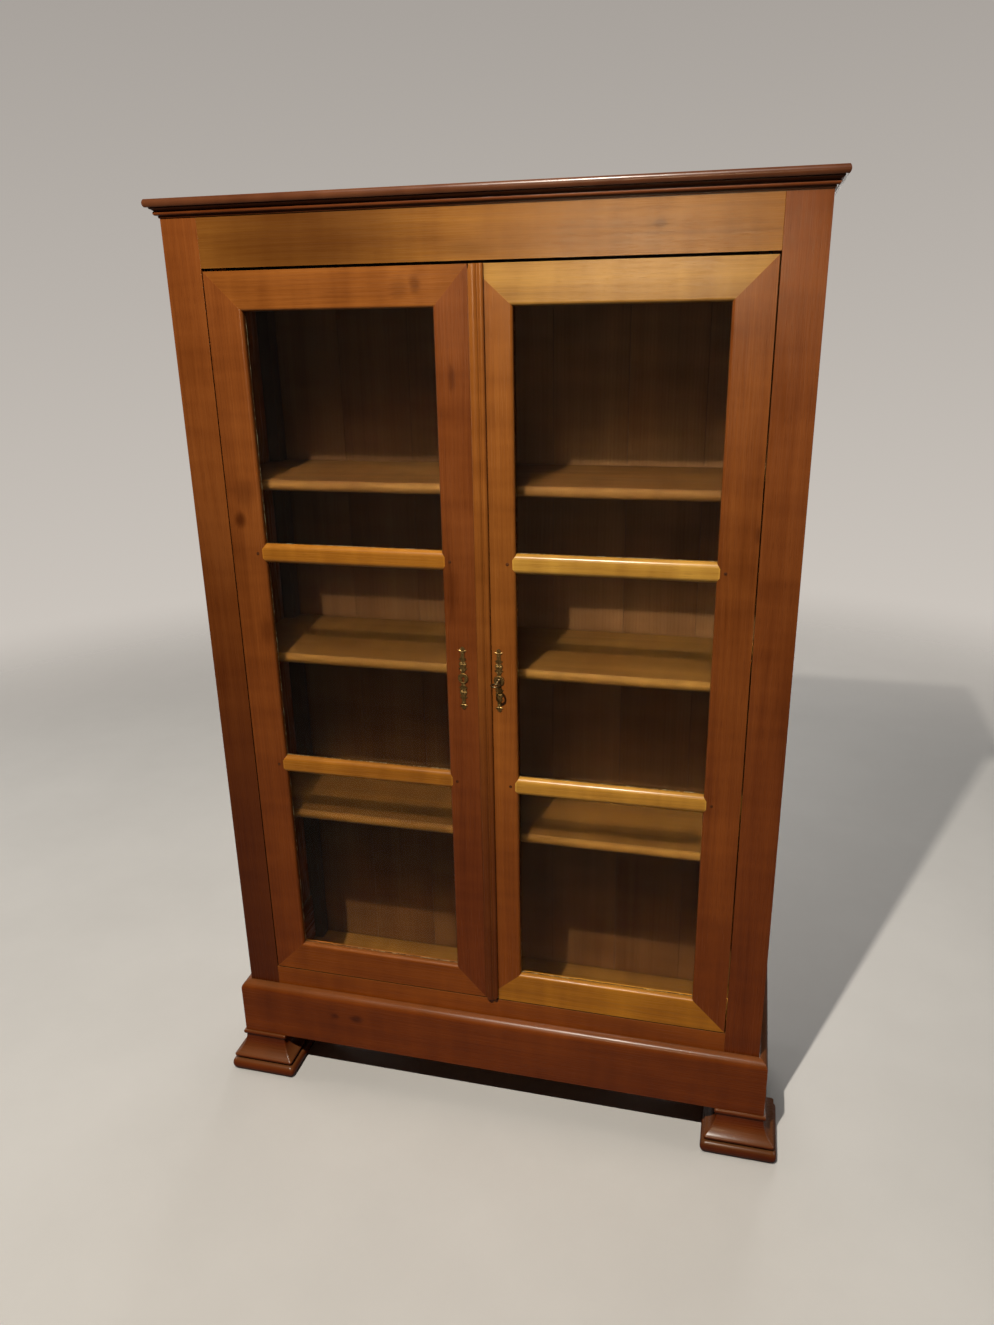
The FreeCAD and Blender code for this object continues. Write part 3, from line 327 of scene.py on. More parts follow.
class Board(Tree):
    """The shader nodes of a wooden piece, with coordinates that follow its grain."""

    def __init__(self, name, grain):
        super().__init__(bpy.data.materials.new(f"wood_{name}"))
        farthest = 9
        self.chance = random.Random(name)
        self.low, self.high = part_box(name)
        self.spot = self.place()
        self.parts = self.split(self.spot)
        self.axes = LOG_AXES[grain]
        self.shift = [self.chance.uniform(-farthest, farthest) for _ in self.axes]
        log_parts = {i: self.parts[axis] for i, axis in enumerate(self.axes)}
        self.log = self.add("ShaderNodeCombineXYZ", log_parts).outputs[0]

    def part_boards(self, count, jump):
        """Moves the figure along the grain from each board to the next, for boards side by side along X."""
        width = (self.high.x - self.low.x) / count
        across = self.math("DIVIDE", self.math("SUBTRACT", self.parts["X"], self.low.x), width)
        along = self.math("MULTIPLY", self.math("FLOOR", across), jump)
        self.log = self.vector("ADD", self.log, self.add("ShaderNodeCombineXYZ", {2: along}).outputs[0])

    def grained(self, across, along, detail=2.0, roughness=0.5):
        """Noise drawn out along the grain, at a place of this board's own."""
        stretched = self.vector("MULTIPLY", self.log, (across, across, along))
        return self.noise(self.vector("ADD", stretched, self.shift), detail=detail, roughness=roughness)

    def total(self, *shares):
        """A sum of values, each times its share."""
        amount = 0.0
        for value, share in shares:
            amount = self.math("ADD", amount, self.math("MULTIPLY", value, share))
        return amount

    def knot_and_painted_shade(self, knots_and_shade):
        """How dark the knots and the wide clouds of painted shade are, with ragged borders."""
        raggedness = 9 * MM
        core = 0.2
        border = 1.3
        ragged = self.math("MULTIPLY", self.grained(60, 20, detail=3), raggedness)
        ragged_spot = self.vector("ADD", self.spot, ragged)
        shade = 0.0
        for (x, z), reach_x, reach_z, depth in knots_and_shade:
            offset = self.vector("SUBTRACT", ragged_spot, (x + raggedness / 2, 0, z + raggedness / 2))
            distance = self.vector("LENGTH", self.vector("MULTIPLY", offset, (1 / reach_x, 0, 1 / reach_z)))
            cloud = self.spread(distance, core, border, depth, 0.0, smooth=True)
            shade = self.math("MAXIMUM", shade, cloud)
        return shade

    def rings(self, shade):
        """Rings round a pith beside the board, pushed about by slow noise and by knots."""
        pith_angle = self.chance.uniform(0.15, 0.85) * math.pi
        pith_distance = self.chance.uniform(0.07, 0.16)
        spacing = self.chance.uniform(5, 9) * MM
        middle = (self.low + self.high) / 2
        centre = [middle["XYZ".index(axis)] for axis in self.axes]
        pith = (
            centre[0] + pith_distance * math.cos(pith_angle),
            centre[1] + pith_distance * math.sin(pith_angle),
            0,
        )
        spoke = self.vector("MULTIPLY", self.vector("SUBTRACT", self.log, pith), (1, 1, 0))
        ripple = self.grained(45, 3.5, detail=3)
        warp = self.grained(5, 0.8)
        radius = self.total((self.vector("LENGTH", spoke), 1), (warp, 0.045), (ripple, 0.006), (shade, 0.012))
        wave = self.math("SINE", self.math("MULTIPLY", radius, FULL_TURN / spacing))
        return self.math("MULTIPLY", self.math("POWER", self.spread(wave, -1, 1), 2), ripple)

    def wear_and_painted_light(self, base, tone, waxed, is_shelf, clouds):
        """A colour with painted shade low down, in corners and joints and on the tops of shelves, painted
        light on the fronts of shelves, painted sheen on upward faces, and rubbed edges.
        """
        full_shade_height = 0.1
        unshaded_height = 1.2
        deepest_low_shade = 1.0 if waxed else 0.4
        deepest_crevice_shade = 0.62
        most_top_sheen = 0.2
        most_rub = 0.45
        # Painted shade: darker and redder towards the floor
        low_shade = self.spread(self.parts["Z"], full_shade_height, unshaded_height, deepest_low_shade, 0.0)
        base = self.mix(low_shade, base, LOW_PAINTED_SHADE, "MULTIPLY")
        # Painted shade in corners and joints, found by occlusion
        crevice_shade = self.spread(self.crevices(9 * MM), 0.25, 0.85, deepest_crevice_shade, 0.0)
        base = self.mix(crevice_shade, base, scaled(tone, *CREVICE_PAINTED_SHADE))
        facing = self.split(self.facing())
        upward = self.spread(facing["Z"], 0.2, 0.8)
        if is_shelf:
            forward = self.spread(facing["Y"], -0.2, -0.8)
            # Painted shade on the tops of the shelves and painted light on their fronts
            base = self.mix(upward, base, SHELF_TOP_PAINTED_SHADE, "MULTIPLY")
            base = self.mix(forward, base, SHELF_FRONT_PAINTED_LIGHT, "MULTIPLY")
        if waxed:
            # Painted sheen on upward faces, more of it low down
            top_sheen = self.math("MULTIPLY", self.math("MULTIPLY", upward, most_top_sheen), low_shade)
            base = self.mix(top_sheen, base, PAINTED_TOP_SHEEN)
        if waxed or is_shelf:
            rub = self.math("MULTIPLY", self.edges(2 * MM), self.spread(clouds, 0.35, 0.6, 0.4, 2.2))
            base = self.mix(self.math("MINIMUM", rub, most_rub), base, scaled(tone, *RUBBED_EDGE))
        return base


def wood(name, grain, tone, waxed, knots_and_shade):
    """Cherry with streaks, soft rings and cross figure along its grain, knots, painted shade and painted
    sheen, and rubbed edges.
    """
    board = Board(name, grain)
    if name == "back_boards":
        board.part_boards(BACK_BOARDS, BOARD_JUMP)
    shade = board.knot_and_painted_shade(knots_and_shade)
    rings = board.rings(shade)
    streaks = board.grained(24, 0.8, detail=4, roughness=0.55)
    threads = board.grained(130, 3)
    clouds = board.grained(7, 4)
    curl = board.grained(5, 26)
    fibres = board.grained(700, 10)
    flecks = board.grained(1500, 45, detail=0)
    figure = board.total(
        (streaks, 0.34), (threads, 0.10), (clouds, 0.28), (curl, 0.22), (fibres, 0.06), (rings, -0.06),
    )
    base = board.ramp(figure, [
        (0.30, scaled(tone, *DARK_FIGURE)),
        (0.47, tone),
        (0.64, scaled(tone, *PALE_FIGURE)),
    ])
    # Knots, and the wide clouds of painted shade
    base = board.mix(shade, base, scaled(tone, *KNOT_AND_PAINTED_SHADE))
    pores = board.spread(flecks, 0.66, 0.74, 0.0, 0.25)
    base = board.mix(pores, base, scaled(tone, *PORE_SHADE))
    sheen = (0.19, 0.33) if waxed else (0.5, 0.7)
    relief = board.math("SUBTRACT", board.total((fibres, 0.5), (threads, 0.6)), pores)
    board.shade(
        Base_Color=board.wear_and_painted_light(base, tone, waxed, name.startswith("shelf"), clouds),
        Roughness=board.spread(board.math("ADD", clouds, fibres), 0.7, 1.3, *sheen),
        Specular_IOR_Level=0.4 if waxed else 0.06,
        Normal=board.bump(relief, 0.14 if waxed else 0.3, 0.5 * MM),
    )
    return board.owner


def glass_material():
    """Old drawn glass: clear, faintly green and slightly wavy. Lamps shine through it."""
    tree = Tree(bpy.data.materials.new("old_glass"))
    waves = tree.noise(tree.vector("MULTIPLY", tree.place(), (7, 7, 2.5)), detail=0)
    tree.shade(
        Base_Color=colour(246, 250, 247),
        Roughness=0.0,
        IOR=1.16,
        Transmission_Weight=1.0,
        Normal=tree.bump(waves, 0.02, 2 * MM),
    )
    clear = tree.add("ShaderNodeBsdfTransparent", {"Color": colour(240, 245, 241)})
    lamp_ray = tree.add("ShaderNodeLightPath").outputs["Is Shadow Ray"]
    tree.blend_surface(lamp_ray, clear)
    return tree.owner


def metal_material(name, bright, tarnish, roughness, patch_scale):
    """Worn metal: bright where rubbed, tarnished in patches and hollows."""
    tree = Tree(bpy.data.materials.new(name))
    place = tree.place()
    grit_scale = patch_scale * 9
    roughest = roughness + 0.25
    patches = tree.noise(place, patch_scale, detail=5, roughness=0.65)
    grit = tree.noise(place, grit_scale)
    hollow = tree.spread(tree.crevices(4 * MM), 0.3, 0.95, 1, 0)
    cover = tree.math("MAXIMUM", tree.spread(patches, 0.42, 0.7, 0.0, 0.75), hollow)
    rubbed_off = tree.math("MULTIPLY", tree.edges(0.8 * MM), 1.6)
    relief = tree.math("ADD", patches, grit)
    tree.shade(
        Base_Color=tree.mix(tree.math("SUBTRACT", cover, rubbed_off, clamp=True), bright, tarnish),
        Metallic=1.0,
        Roughness=tree.spread(relief, 0.7, 1.3, roughness, roughest),
        Normal=tree.bump(relief, 0.12, 0.2 * MM),
    )
    return tree.owner


def putty_material():
    """Brittle chalk putty, cream where it is clean and brown where it has been stained."""
    tree = Tree(bpy.data.materials.new("putty"))
    place = tree.place()
    stain = tree.noise(place, 60, detail=5, roughness=0.7)
    crumbs = tree.noise(place, 900)
    base = tree.ramp(stain, [
        (0.40, colour(196, 178, 148)),
        (0.50, colour(120, 88, 58)),
        (0.62, colour(70, 46, 30)),
    ])
    tree.shade(Base_Color=base, Roughness=0.9, Normal=tree.bump(crumbs, 0.5, 0.6 * MM))
    return tree.owner


def peg_material():
    """Dark end grain of a small wooden peg."""
    tree = Tree(bpy.data.materials.new("peg_end_grain"))
    rings = tree.noise(tree.place(), 420, detail=3)
    tree.shade(
        Base_Color=tree.ramp(rings, [(0.35, colour(58, 28, 14)), (0.65, colour(104, 58, 28))]),
        Roughness=0.5,
        Specular_IOR_Level=0.14,
        Normal=tree.bump(rings, 0.2, 0.3 * MM),
    )
    return tree.owner


# What the floor keeps of its colour where it throws light back on the object
DIM_FLOOR = (0.18, 0.18, 0.18, 1.0)


def floor_material(clear_radius, fade_radius):
    """Pale floor, faintly mottled, that fades into the backdrop away from the object."""
    tree = Tree(bpy.data.materials.new("pale_floor"))
    place = tree.place()
    mottle = tree.noise(place, 2.2, detail=6, roughness=0.6)
    base = tree.ramp(mottle, [(0.35, colour(229, 227, 224)), (0.65, colour(234, 232, 229))])
    unseen = tree.math("SUBTRACT", 1.0, tree.seen_by_camera())
    tree.shade(Base_Color=tree.mix(unseen, base, DIM_FLOOR, "MULTIPLY"), Roughness=0.55)
    fade = tree.spread(tree.vector("LENGTH", place), clear_radius, fade_radius, 0, 1, smooth=True)
    tree.blend_surface(fade, tree.add("ShaderNodeBsdfTransparent"))
    return tree.owner


BRASS = metal_material(
    "aged_brass", colour(170, 138, 84), colour(102, 75, 40), roughness=0.36, patch_scale=110,
)
IRON = metal_material(
    "dark_iron", colour(120, 112, 104), colour(54, 44, 38), roughness=0.38, patch_scale=45,
)
PIVOT_IRON = metal_material(
    "rusty_pivot", colour(52, 44, 38), colour(30, 22, 18), roughness=0.55, patch_scale=45,
)
PIN_STEEL = metal_material(
    "worn_steel", colour(168, 162, 152), colour(92, 80, 68), roughness=0.3, patch_scale=60,
)
KEY_IRON = metal_material(
    "handled_key", colour(134, 112, 78), colour(62, 48, 34), roughness=0.3, patch_scale=60,
)
GLASS = glass_material()
PUTTY = putty_material()
PEG_WOOD = peg_material()


# Dressing the CAD pieces

NO_EDGE = 0
PIVOT_EDGE = 0.2 * MM
PLATE_EDGE = 0.3 * MM
FRAME_EDGE = 0.5 * MM
WORN_EDGE = 1.2 * MM


def dress(name, material, edge):
    """Gives a CAD piece its material and small rounded edges."""
    piece = nodes[name]
    piece.data.materials.clear()
    piece.data.materials.append(material)
    if not edge:
        return
    for face in piece.data.polygons:
        face.use_smooth = True
    weld = piece.modifiers.new("weld", "WELD")
    weld.merge_threshold = 0.01 * MM
    bevel = piece.modifiers.new("soft_edges", "BEVEL")
    bevel.width = edge
    bevel.segments = 2
    bevel.limit_method = "ANGLE"
    bevel.angle_limit = math.radians(35)
    flat_shading = piece.modifiers.new("flat_shading", "WEIGHTED_NORMAL")
    flat_shading.weight = 50


for name, (grain, tone) in (WOODS | DULL_WOODS).items():
    edge = WORN_EDGE if name.startswith(("plinth", "cornice", "shelf")) else FRAME_EDGE
    dress(name, wood(name, grain, tone, name in WOODS, KNOTS_AND_PAINTED_SHADE.get(name, ())), edge)
for side in SIDES:
    dress(f"{side}_panes", GLASS, NO_EDGE)
    dress(f"{side}_putty", PUTTY, NO_EDGE)
    dress(f"{side}_pivots", PIVOT_IRON, PIVOT_EDGE)
    dress(f"{side}_escutcheon", BRASS, PLATE_EDGE)
dress("pivot_sockets", PIVOT_IRON, PIVOT_EDGE)
for name in ("lock_case", "left_bolt_plates"):
    dress(name, IRON, PLATE_EDGE)
for name in ("lock_bolt", "left_top_bolt", "left_bottom_bolt"):
    dress(name, PIN_STEEL, NO_EDGE)
dress("key", KEY_IRON, NO_EDGE)


# Ways to build small forms

FORWARD = (0, -1, 0)
BACKWARD = (0, 1, 0)


def stood(place, axis):
    """The matrix that stands a form on a place, with its Z along an axis."""
    turn = Vector((0, 0, 1)).rotation_difference(Vector(axis)).to_matrix().to_4x4()
    return Matrix.Translation(place) @ turn


def wrap(shape, rows):
    """Joins each row of points to the next, where the rows run round."""
    for lower, upper in zip(rows, rows[1:]):
        for i in range(len(lower)):
            after = (i + 1) % len(lower)
            shape.faces.new((lower[i], lower[after], upper[after], upper[i]))


def strip(shape, rows):
    """Joins each row of points to the next, where the rows have two ends."""
    for lower, upper in zip(rows, rows[1:]):
        for i in range(len(lower) - 1):
            shape.faces.new((lower[i], lower[i + 1], upper[i + 1], upper[i]))


def cap(shape, rows):
    """Closes the first and the last of some rows that run round."""
    shape.faces.new(rows[0][::-1])
    shape.faces.new(rows[-1])


def lathe(shape, profile, place, axis, closed=False):
    """Adds a turned form about an axis, from (radius, height) points given from its foot to its head."""
    steps = 20
    angles = [FULL_TURN * step / steps for step in range(steps)]
    matrix = stood(place, axis)
    rows = []
    for radius, height in profile:
        points = [Vector((radius * math.cos(angle), radius * math.sin(angle), height)) for angle in angles]
        rows.append([shape.verts.new(matrix @ point) for point in points])
    if closed:
        wrap(shape, rows + rows[:1])
    else:
        wrap(shape, rows)
        cap(shape, rows)


def ring_profile(radius, wire, height):
    """The section of a round wire ring for the lathe."""
    steps = 8
    angles = [FULL_TURN * step / steps for step in range(steps)]
    return [(radius + wire * math.cos(angle), height + wire * math.sin(angle)) for angle in angles]


def dome_profile(radius, rise):
    """The section of a low domed head for the lathe."""
    steps = 5
    angles = [math.pi / 2 * step / steps for step in range(steps)]
    return [(radius * math.cos(angle), rise * math.sin(angle)) for angle in angles]


def leaf(shape, root, angle, length, width, rise):
    """Adds a pointed leaf with a raised rib, lying on a plate that faces the front."""
    steps = 8
    rootward_swell = 0.8
    sunk_rim = 0.1 * MM
    along = Vector((math.sin(angle), 0, math.cos(angle)))
    across = Vector((math.cos(angle), 0, -math.sin(angle)))
    rows = []
    for step in range(1, steps):
        swell = math.sin(math.pi * (step / steps) ** rootward_swell)
        row = []
        for side in (-1, -0.5, 0, 0.5, 1):
            point = root + along * (length * step / steps) + across * (side * width * swell / 2)
            point.y += sunk_rim - rise * swell * (1 - abs(side))
            row.append(shape.verts.new(point))
        rows.append(row)
    strip(shape, rows)
    root_vert = shape.verts.new(root)
    tip_vert = shape.verts.new(root + along * length)
    for i in range(len(rows[0]) - 1):
        shape.faces.new((root_vert, rows[0][i + 1], rows[0][i]))
        shape.faces.new((tip_vert, rows[-1][i], rows[-1][i + 1]))


def scroll(shape, centre, reach, start, hand, wire):
    """Adds a wire that winds inwards from a start angle and grows thinner, with its hand 1 or -1."""
    steps = 22
    sides = 6
    turns = 1.4
    tightening = 0.85
    first_thickness = 1.15
    thinning = 0.4
    rows = []
    for step in range(steps + 1):
        share = step / steps
        angle = start + hand * turns * FULL_TURN * share
        radius = reach * (1 - tightening * share)
        outwards = Vector((math.cos(angle), 0, math.sin(angle)))
        thickness = wire * (first_thickness - thinning * share)
        row = []
        for side in range(sides):
            around = FULL_TURN * side / sides
            offset = outwards * math.cos(around) + Vector((0, -math.sin(around), 0))
            row.append(shape.verts.new(centre + outwards * radius + offset * thickness))
        rows.append(row)
    wrap(shape, rows)
    cap(shape, rows)


def screw(shape, place, axis, radius):
    """Adds a slotted screw head: a low rim and two raised halves with the slot between them."""
    slot_half = radius * 0.15
    slot_turn = 0.6
    flattening = 0.85
    steps = 10
    lathe(shape, [(radius, 0), (radius, 0.3 * MM), (radius * 0.9, 0.5 * MM)], place, axis)
    matrix = stood(place, axis)
    for half_turn in (0, math.pi):
        spin = matrix @ Matrix.Rotation(half_turn + slot_turn, 4, "Z")
        rows = []
        for height, share in ((0.4 * MM, 0.9), (0.8 * MM, 0.78)):
            row = []
            for step in range(steps + 1):
                angle = math.pi * step / steps
                x = radius * share * math.cos(angle)
                y = slot_half + radius * share * math.sin(angle) * flattening
                row.append(shape.verts.new(spin @ Vector((x, y, height))))
            rows.append(row)
        wrap(shape, rows)
        shape.faces.new(rows[-1])


def detail(name, shape, material, body, slot):
    """Turns a shape into a named detail that rides on a body."""
    bmesh.ops.recalc_face_normals(shape, faces=shape.faces)
    mesh = bpy.data.meshes.new(name)
    shape.to_mesh(mesh)
    shape.free()
    for face in mesh.polygons:
        face.use_smooth = True
    mesh.set_sharp_from_angle(angle=math.radians(42))
    mesh.materials.append(material)
    piece = bpy.data.objects.new(name, mesh)
    bpy.context.scene.collection.objects.link(piece)
    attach(piece, body)
    return piece


# Small details of brass, iron and wood

def escutcheon_relief(side):
    """Stamped relief on an escutcheon: a beaded medallion, scrolls, rosettes and palmettes at the ends."""
    bead_count = 12
    petals = 8
    # Sine of the angle below which the slot of the keyhole leaves no room for beads
    lowest_bead = -0.8
    # Places on the plate, in millimetres from its middle
    medallion = 9.0
    bead_circle = 7.0
    inner_leaf = 9.5
    side_leaf = 12
    inner_scroll = (4.6, 18.5)
    rosette = 28
    outer_leaf = 33
    outer_scroll = (4.2, 39)
    stud = 49
    palmette = 53
    palmette_boss = 53.5
    low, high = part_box(f"{side}_escutcheon")
    middle = Vector(((low.x + high.x) / 2, low.y, (low.z + high.z) / 2))
    scroll_sink = Vector((0, 0.9 * MM, 0))
    shape = bmesh.new()

    def on_plate(across, up):
        return middle + Vector((across * MM, 0, up * MM))

    lathe(shape, ring_profile(medallion * MM, 0.9 * MM, 0.2 * MM), middle, FORWARD, closed=True)
    for step in range(bead_count):
        angle = FULL_TURN * step / bead_count
        if math.sin(angle) > lowest_bead:
            bead = on_plate(bead_circle * math.cos(angle), bead_circle * math.sin(angle))
            lathe(shape, dome_profile(0.8 * MM, 0.8 * MM), bead, FORWARD)
    for way, lean in ((1, 0), (-1, math.pi)):
        leaf(shape, on_plate(0, inner_leaf * way), lean, length=13 * MM, width=5.5 * MM, rise=1.3 * MM)
        leaf(shape, on_plate(0, outer_leaf * way), lean, length=13 * MM, width=5 * MM, rise=1.2 * MM)
        for hand in (1, -1):
            side_lean = lean + 0.75 * hand
            leaf(shape, on_plate(0, side_leaf * way), side_lean, length=8 * MM, width=3 * MM, rise=0.9 * MM)
            start = math.pi / 2 * (1 - hand)
            centre = on_plate(inner_scroll[0] * hand, inner_scroll[1] * way) + scroll_sink
            scroll(shape, centre, 3 * MM, start, hand * way, wire=0.7 * MM)
            centre = on_plate(outer_scroll[0] * hand, outer_scroll[1] * way) + scroll_sink
            scroll(shape, centre, 2.6 * MM, start, -hand * way, wire=0.6 * MM)
        for petal in range(petals):
            turn = FULL_TURN * petal / petals
            leaf(shape, on_plate(0, rosette * way), turn, length=6.6 * MM, width=3.4 * MM, rise=0.9 * MM)
        lathe(shape, dome_profile(1.7 * MM, 1.6 * MM), on_plate(0, rosette * way), FORWARD)
        lathe(shape, dome_profile(1.3 * MM, 1.1 * MM), on_plate(0, stud * way), FORWARD)
        root = on_plate(0, palmette * way)
        for fan in (-1.2, -0.6, 0, 0.6, 1.2):
            leaf(shape, root, lean + fan, length=8.5 * MM, width=2.8 * MM, rise=1.0 * MM)
        lathe(shape, dome_profile(1.6 * MM, 1.4 * MM), on_plate(0, palmette_boss * way), FORWARD)
    detail(f"{side}_escutcheon_relief", shape, BRASS, f"{side}_door", "brass")


def key_collars():
    """Turned collars on the shank of the key, at the bow and at the escutcheon."""
    plate_gap = 0.8 * MM
    bow_gap = 13.5 * MM
    section = [(3.0, 0), (4.1, 0.4), (4.5, 1.1), (4.1, 1.8), (3.4, 2.2), (3.9, 2.7), (3.6, 3.3), (3.0, 3.6)]
    profile = [(radius * MM, height * MM) for radius, height in section]
    low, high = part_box("key")
    plate_low, plate_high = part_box("right_escutcheon")
    axis_x = (plate_low.x + plate_high.x) / 2
    axis_z = (low.z + high.z) / 2
    shape = bmesh.new()
    for gap in (plate_gap, bow_gap):
        lathe(shape, profile, (axis_x, plate_low.y - gap, axis_z), FORWARD)
    detail("key_collars", shape, KEY_IRON, "key", "iron")


def lock_screws():
    """Screws at the corners of the lock case."""
    inset = 9 * MM
    head_radius = 3.2 * MM
    low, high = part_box("lock_case")
    shape = bmesh.new()
    for x in (low.x + inset, high.x - inset):
        for z in (low.z + inset, high.z - inset):
            screw(shape, (x, high.y, z), BACKWARD, head_radius)
    detail("lock_screws", shape, PIN_STEEL, "right_door", "iron")


def bolt_plate_screws():
    """Screws that hold the plates of the slide bolts."""
    plate_thickness = 2 * MM
    inset = 3.6 * MM
    head_radius = 2.4 * MM
    outer = 20 * MM
    inner = 60 * MM
    low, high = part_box("left_bolt_plates")
    shape = bmesh.new()
    for x in (low.x + inset, high.x - inset):
        for z in (low.z + outer, low.z + inner, high.z - inner, high.z - outer):
            screw(shape, (x, low.y + plate_thickness, z), BACKWARD, head_radius)
    detail("bolt_plate_screws", shape, PIN_STEEL, "left_door", "iron")


def bar_pegs(side):
    """Pegs that pin the glazing bars into the stiles."""
    inset = 15 * MM
    section = [(3.0, -0.3), (3.0, 0.2), (2.3, 0.4), (0.5, 0.45)]
    profile = [(radius * MM, height * MM) for radius, height in section]
    bar_low, bar_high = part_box(f"{side}_bar_lower")
    pane_middle = (bar_low.x + bar_high.x) / 2
    shape = bmesh.new()
    for stile in ("hinge_stile", "meeting_stile"):
        low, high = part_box(f"{side}_{stile}")
        x = high.x - inset if high.x < pane_middle else low.x + inset
        for bar in ("bar_lower", "bar_upper"):
            bar_low, bar_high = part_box(f"{side}_{bar}")
            lathe(shape, profile, (x, low.y, (bar_low.z + bar_high.z) / 2), FORWARD)
    detail(f"{side}_bar_pegs", shape, PEG_WOOD, f"{side}_door", "cherry")


def back_nails():
    """Nails that hold the back boards to the rails, two at each end of a board."""
    above_lower_edge = 15 * MM
    below_upper_edge = 30 * MM
    head_radius = 2.4 * MM
    head_rise = 0.8 * MM
    board_low, board_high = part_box("back_boards")
    rail_low, rail_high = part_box("back_rails")
    pitch = (board_high.x - board_low.x) / BACK_BOARDS
    shape = bmesh.new()
    for index in range(BACK_BOARDS):
        for share in (0.25, 0.75):
            x = board_low.x + pitch * (index + share)
            for z in (rail_low.z + above_lower_edge, rail_high.z - below_upper_edge):
                lathe(shape, dome_profile(head_radius, head_rise), (x, board_high.y, z), BACKWARD)
    detail("back_nails", shape, IRON, "carcass", "iron")


def cornice_bead():
    """A bead half sunk in the lower part of the cove, mitred round the front and both sides."""
    radius = 4 * MM
    rise = 8 * MM
    reach = 4.2 * MM
    steps = 16
    post_low, post_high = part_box("front_post_right")
    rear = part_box("rear_post_right")[1].y
    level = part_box("cornice_cove_front")[0].z + rise
    shape = bmesh.new()
    rows = []
    for step in range(steps):
        angle = FULL_TURN * step / steps
        out = reach + radius * math.cos(angle)
        x = post_high.x + out
        y = post_low.y - out
        path = ((-x, rear), (-x, y), (x, y), (x, rear))
        rows.append([shape.verts.new((*place, level + radius * math.sin(angle))) for place in path])
    strip(shape, rows + rows[:1])
    for end in (0, -1):
        shape.faces.new([row[end] for row in rows])
    detail("cornice_bead", shape, nodes["cornice_cove_front"].data.materials[0], "carcass", "cherry")


# Front feet

def rounded_square(low, high, inset, corner, level):
    """Points round the foot's plan, drawn in from its edge, with rounded corners."""
    steps = 5
    points = []
    for x, y, quarter in ((high.x, high.y, 0), (low.x, high.y, 1), (low.x, low.y, 2), (high.x, low.y, 3)):
        inward_x = 1 if x == low.x else -1
        inward_y = 1 if y == low.y else -1
        centre_x = x + inward_x * (inset + corner)
        centre_y = y + inward_y * (inset + corner)
        for step in range(steps + 1):
            angle = (quarter + step / steps) * math.pi / 2
            points.append((centre_x + corner * math.cos(angle), centre_y + corner * math.sin(angle), level))
    return points


def foot_profile():
    """The foot's moulding from the floor up, as inset, height and corner radius in millimetres."""
    roll_depth = 9
    roll_height = 28
    roll_corner = 8
    roll_steps = 10
    quirk = [(13, 28, 6), (13, 34, 6)]
    ledge = [(6.5, 34.5, 5), (6, 35.5, 5), (6, 38, 5), (6.5, 39, 5)]
    cove_inset = (6.5, 29)
    cove_height = (39, 80)
    cove_corner = 3
    cove_start = math.radians(35)
    cove_steps = 10
    bead = [(29, 84.5, 3), (26.5, 85.5, 3), (25, 87.5, 3), (24.6, 90, 3), (25.2, 92.5, 3), (26.5, 94, 3)]
    roll = []
    for step in range(roll_steps + 1):
        angle = math.pi * (step / roll_steps - 0.5)
        inset = roll_depth * (1 - math.cos(angle))
        roll.append((inset, roll_height / 2 * (1 + math.sin(angle)), roll_corner))
    cove = []
    for step in range(1, cove_steps + 1):
        angle = cove_start + (math.pi / 2 - cove_start) * step / cove_steps
        inward = (math.sin(angle) - math.sin(cove_start)) / (1 - math.sin(cove_start))
        upward = 1 - math.cos(angle) / math.cos(cove_start)
        inset = cove_inset[0] + inward * (cove_inset[1] - cove_inset[0])
        cove.append((inset, cove_height[0] + upward * (cove_height[1] - cove_height[0]), cove_corner))
    return roll + quirk + ledge + cove + bead


def moulded_foot(side):
    """A front foot with the deep quirk and small bead that its solid lacks."""
    node = f"foot_front_{side}"
    low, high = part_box(node)
    shape = bmesh.new()
    rows = []
    for inset, level, corner in foot_profile():
        points = rounded_square(low, high, inset * MM, corner * MM, low.z + level * MM)
        rows.append([shape.verts.new(point) for point in points])
    wrap(shape, rows)
    cap(shape, rows)
    foot = detail(f"moulded_foot_{side}", shape, nodes[node].data.materials[0], "carcass", "cherry")
    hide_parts(node)


for side in SIDES:
    escutcheon_relief(side)
    bar_pegs(side)
    moulded_foot(side)
key_collars()
lock_screws()
bolt_plate_screws()
back_nails()
cornice_bead()


# Stage: floor, backdrop, lamps and camera

WARM = colour(255, 247, 234)
GOLDEN_LIGHT = colour(255, 228, 186)
NEUTRAL = colour(255, 252, 247)
# How brightly the room lights the object, where the backdrop that the camera sees is 1
ROOM_LEVEL = 0.018


def floor():
    """A round floor under the object."""
    clear_radius = 2.2
    fade_radius = 4.5
    mesh = bpy.data.meshes.new("floor")
    shape = bmesh.new()
    bmesh.ops.create_circle(shape, cap_ends=True, segments=96, radius=fade_radius)
    shape.to_mesh(mesh)
    shape.free()
    mesh.materials.append(floor_material(clear_radius, fade_radius))
    disc = bpy.data.objects.new("floor", mesh)
    bpy.context.scene.collection.objects.link(disc)


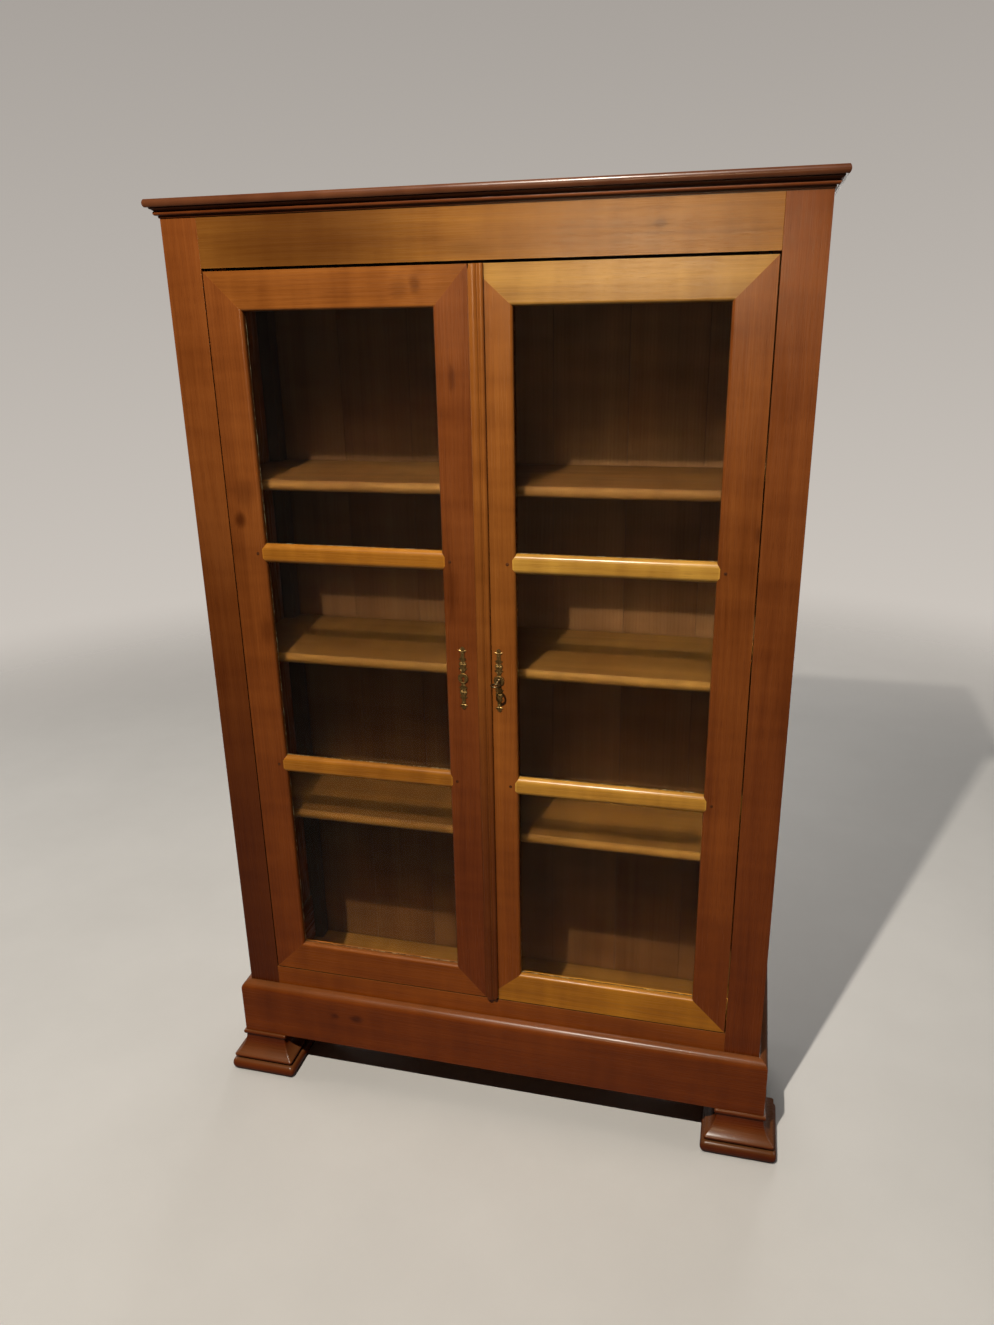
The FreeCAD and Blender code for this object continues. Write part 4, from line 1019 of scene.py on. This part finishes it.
def world_light():
    """A pale backdrop for the camera, mirrored behind the object and less on the right, in a dim room."""
    world = bpy.data.worlds.new("studio")
    bpy.context.scene.world = world
    tree = Tree(world)
    direction = tree.split(tree.add("ShaderNodeTexCoord").outputs["Generated"])
    tone = tree.ramp(tree.spread(direction["Z"], -1, 1), [
        (0.34, colour(206, 199, 191)),
        (0.62, colour(168, 162, 156)),
    ])
    behind = tree.spread(direction["Y"], 0, 0.5, 0, 1, smooth=True)
    unshaded = tree.spread(direction["X"], 0.05, 0.4, 1, 0.1)
    glossy = tree.add("ShaderNodeLightPath").outputs["Is Glossy Ray"]
    mirrored = tree.math("MULTIPLY", glossy, tree.math("MULTIPLY", behind, unshaded))
    seen = tree.math("MAXIMUM", tree.seen_by_camera(), mirrored)
    backdrop = tree.nodes["Background"]
    tree.feed(backdrop.inputs["Color"], tone)
    tree.feed(backdrop.inputs["Strength"], tree.spread(seen, 0, 1, ROOM_LEVEL, 1))


def lamp(name, place, target, width, height, power, tint, lights_surfaces=True):
    """A soft flat lamp aimed at a point. One that does not light surfaces only adds sheen to them."""
    light = bpy.data.lights.new(name, "AREA")
    light.shape = "RECTANGLE"
    light.size = width
    light.size_y = height
    light.energy = power
    light.color = tint[:3]
    holder = bpy.data.objects.new(name, light)
    holder.location = place
    holder.rotation_euler = (Vector(target) - Vector(place)).to_track_quat("-Z", "Y").to_euler()
    holder.visible_diffuse = lights_surfaces
    holder.visible_transmission = False
    bpy.context.scene.collection.objects.link(holder)


def lamps():
    """A small lamp above the front, sheen on the glazing bars, and weak fills behind and on both sides."""
    lamp(
        "key", place=(-0.19, -2.0, 3.4), target=(0, -0.1, 0.9),
        width=0.05, height=0.05, power=96, tint=WARM,
    )
    lamp(
        "sheen", place=(0.0, -2.64, 1.86), target=(0.2, -0.1, 1.6),
        width=0.8, height=0.24, power=10, tint=GOLDEN_LIGHT, lights_surfaces=False,
    )
    lamp(
        "back_fill", place=(0.0, 3.2, 2.5), target=(0, 0, 1.0),
        width=2.0, height=2.0, power=40, tint=NEUTRAL,
    )
    for side, power in ((-1, 18), (1, 12)):
        lamp(
            f"side_fill_{side}", place=(3.2 * side, 0.5, 1.5), target=(0, 0.1, 0.9),
            width=1.6, height=1.6, power=power, tint=NEUTRAL,
        )


def camera():
    """The photograph's viewpoint: a standing eye, right of the middle, looking down a little."""
    image_height = 1325
    focal_pixels = 990.7
    place = Vector((0.4701, -1.8236, 1.6483))
    yaw, pitch, roll = (math.radians(angle) for angle in (14.61, -19.61, -1.10))
    data = bpy.data.cameras.new("camera")
    data.lens = data.sensor_width * focal_pixels / image_height
    holder = bpy.data.objects.new("camera", data)
    turn = Matrix.Rotation(yaw, 4, "Z")
    turn = turn @ Matrix.Rotation(math.pi / 2 + pitch, 4, "X")
    turn = turn @ Matrix.Rotation(roll, 4, "Z")
    holder.matrix_world = Matrix.Translation(place) @ turn
    bpy.context.scene.collection.objects.link(holder)
    bpy.context.scene.camera = holder


floor()
world_light()
lamps()
camera()
bpy.context.scene.view_settings.view_transform = "Standard"
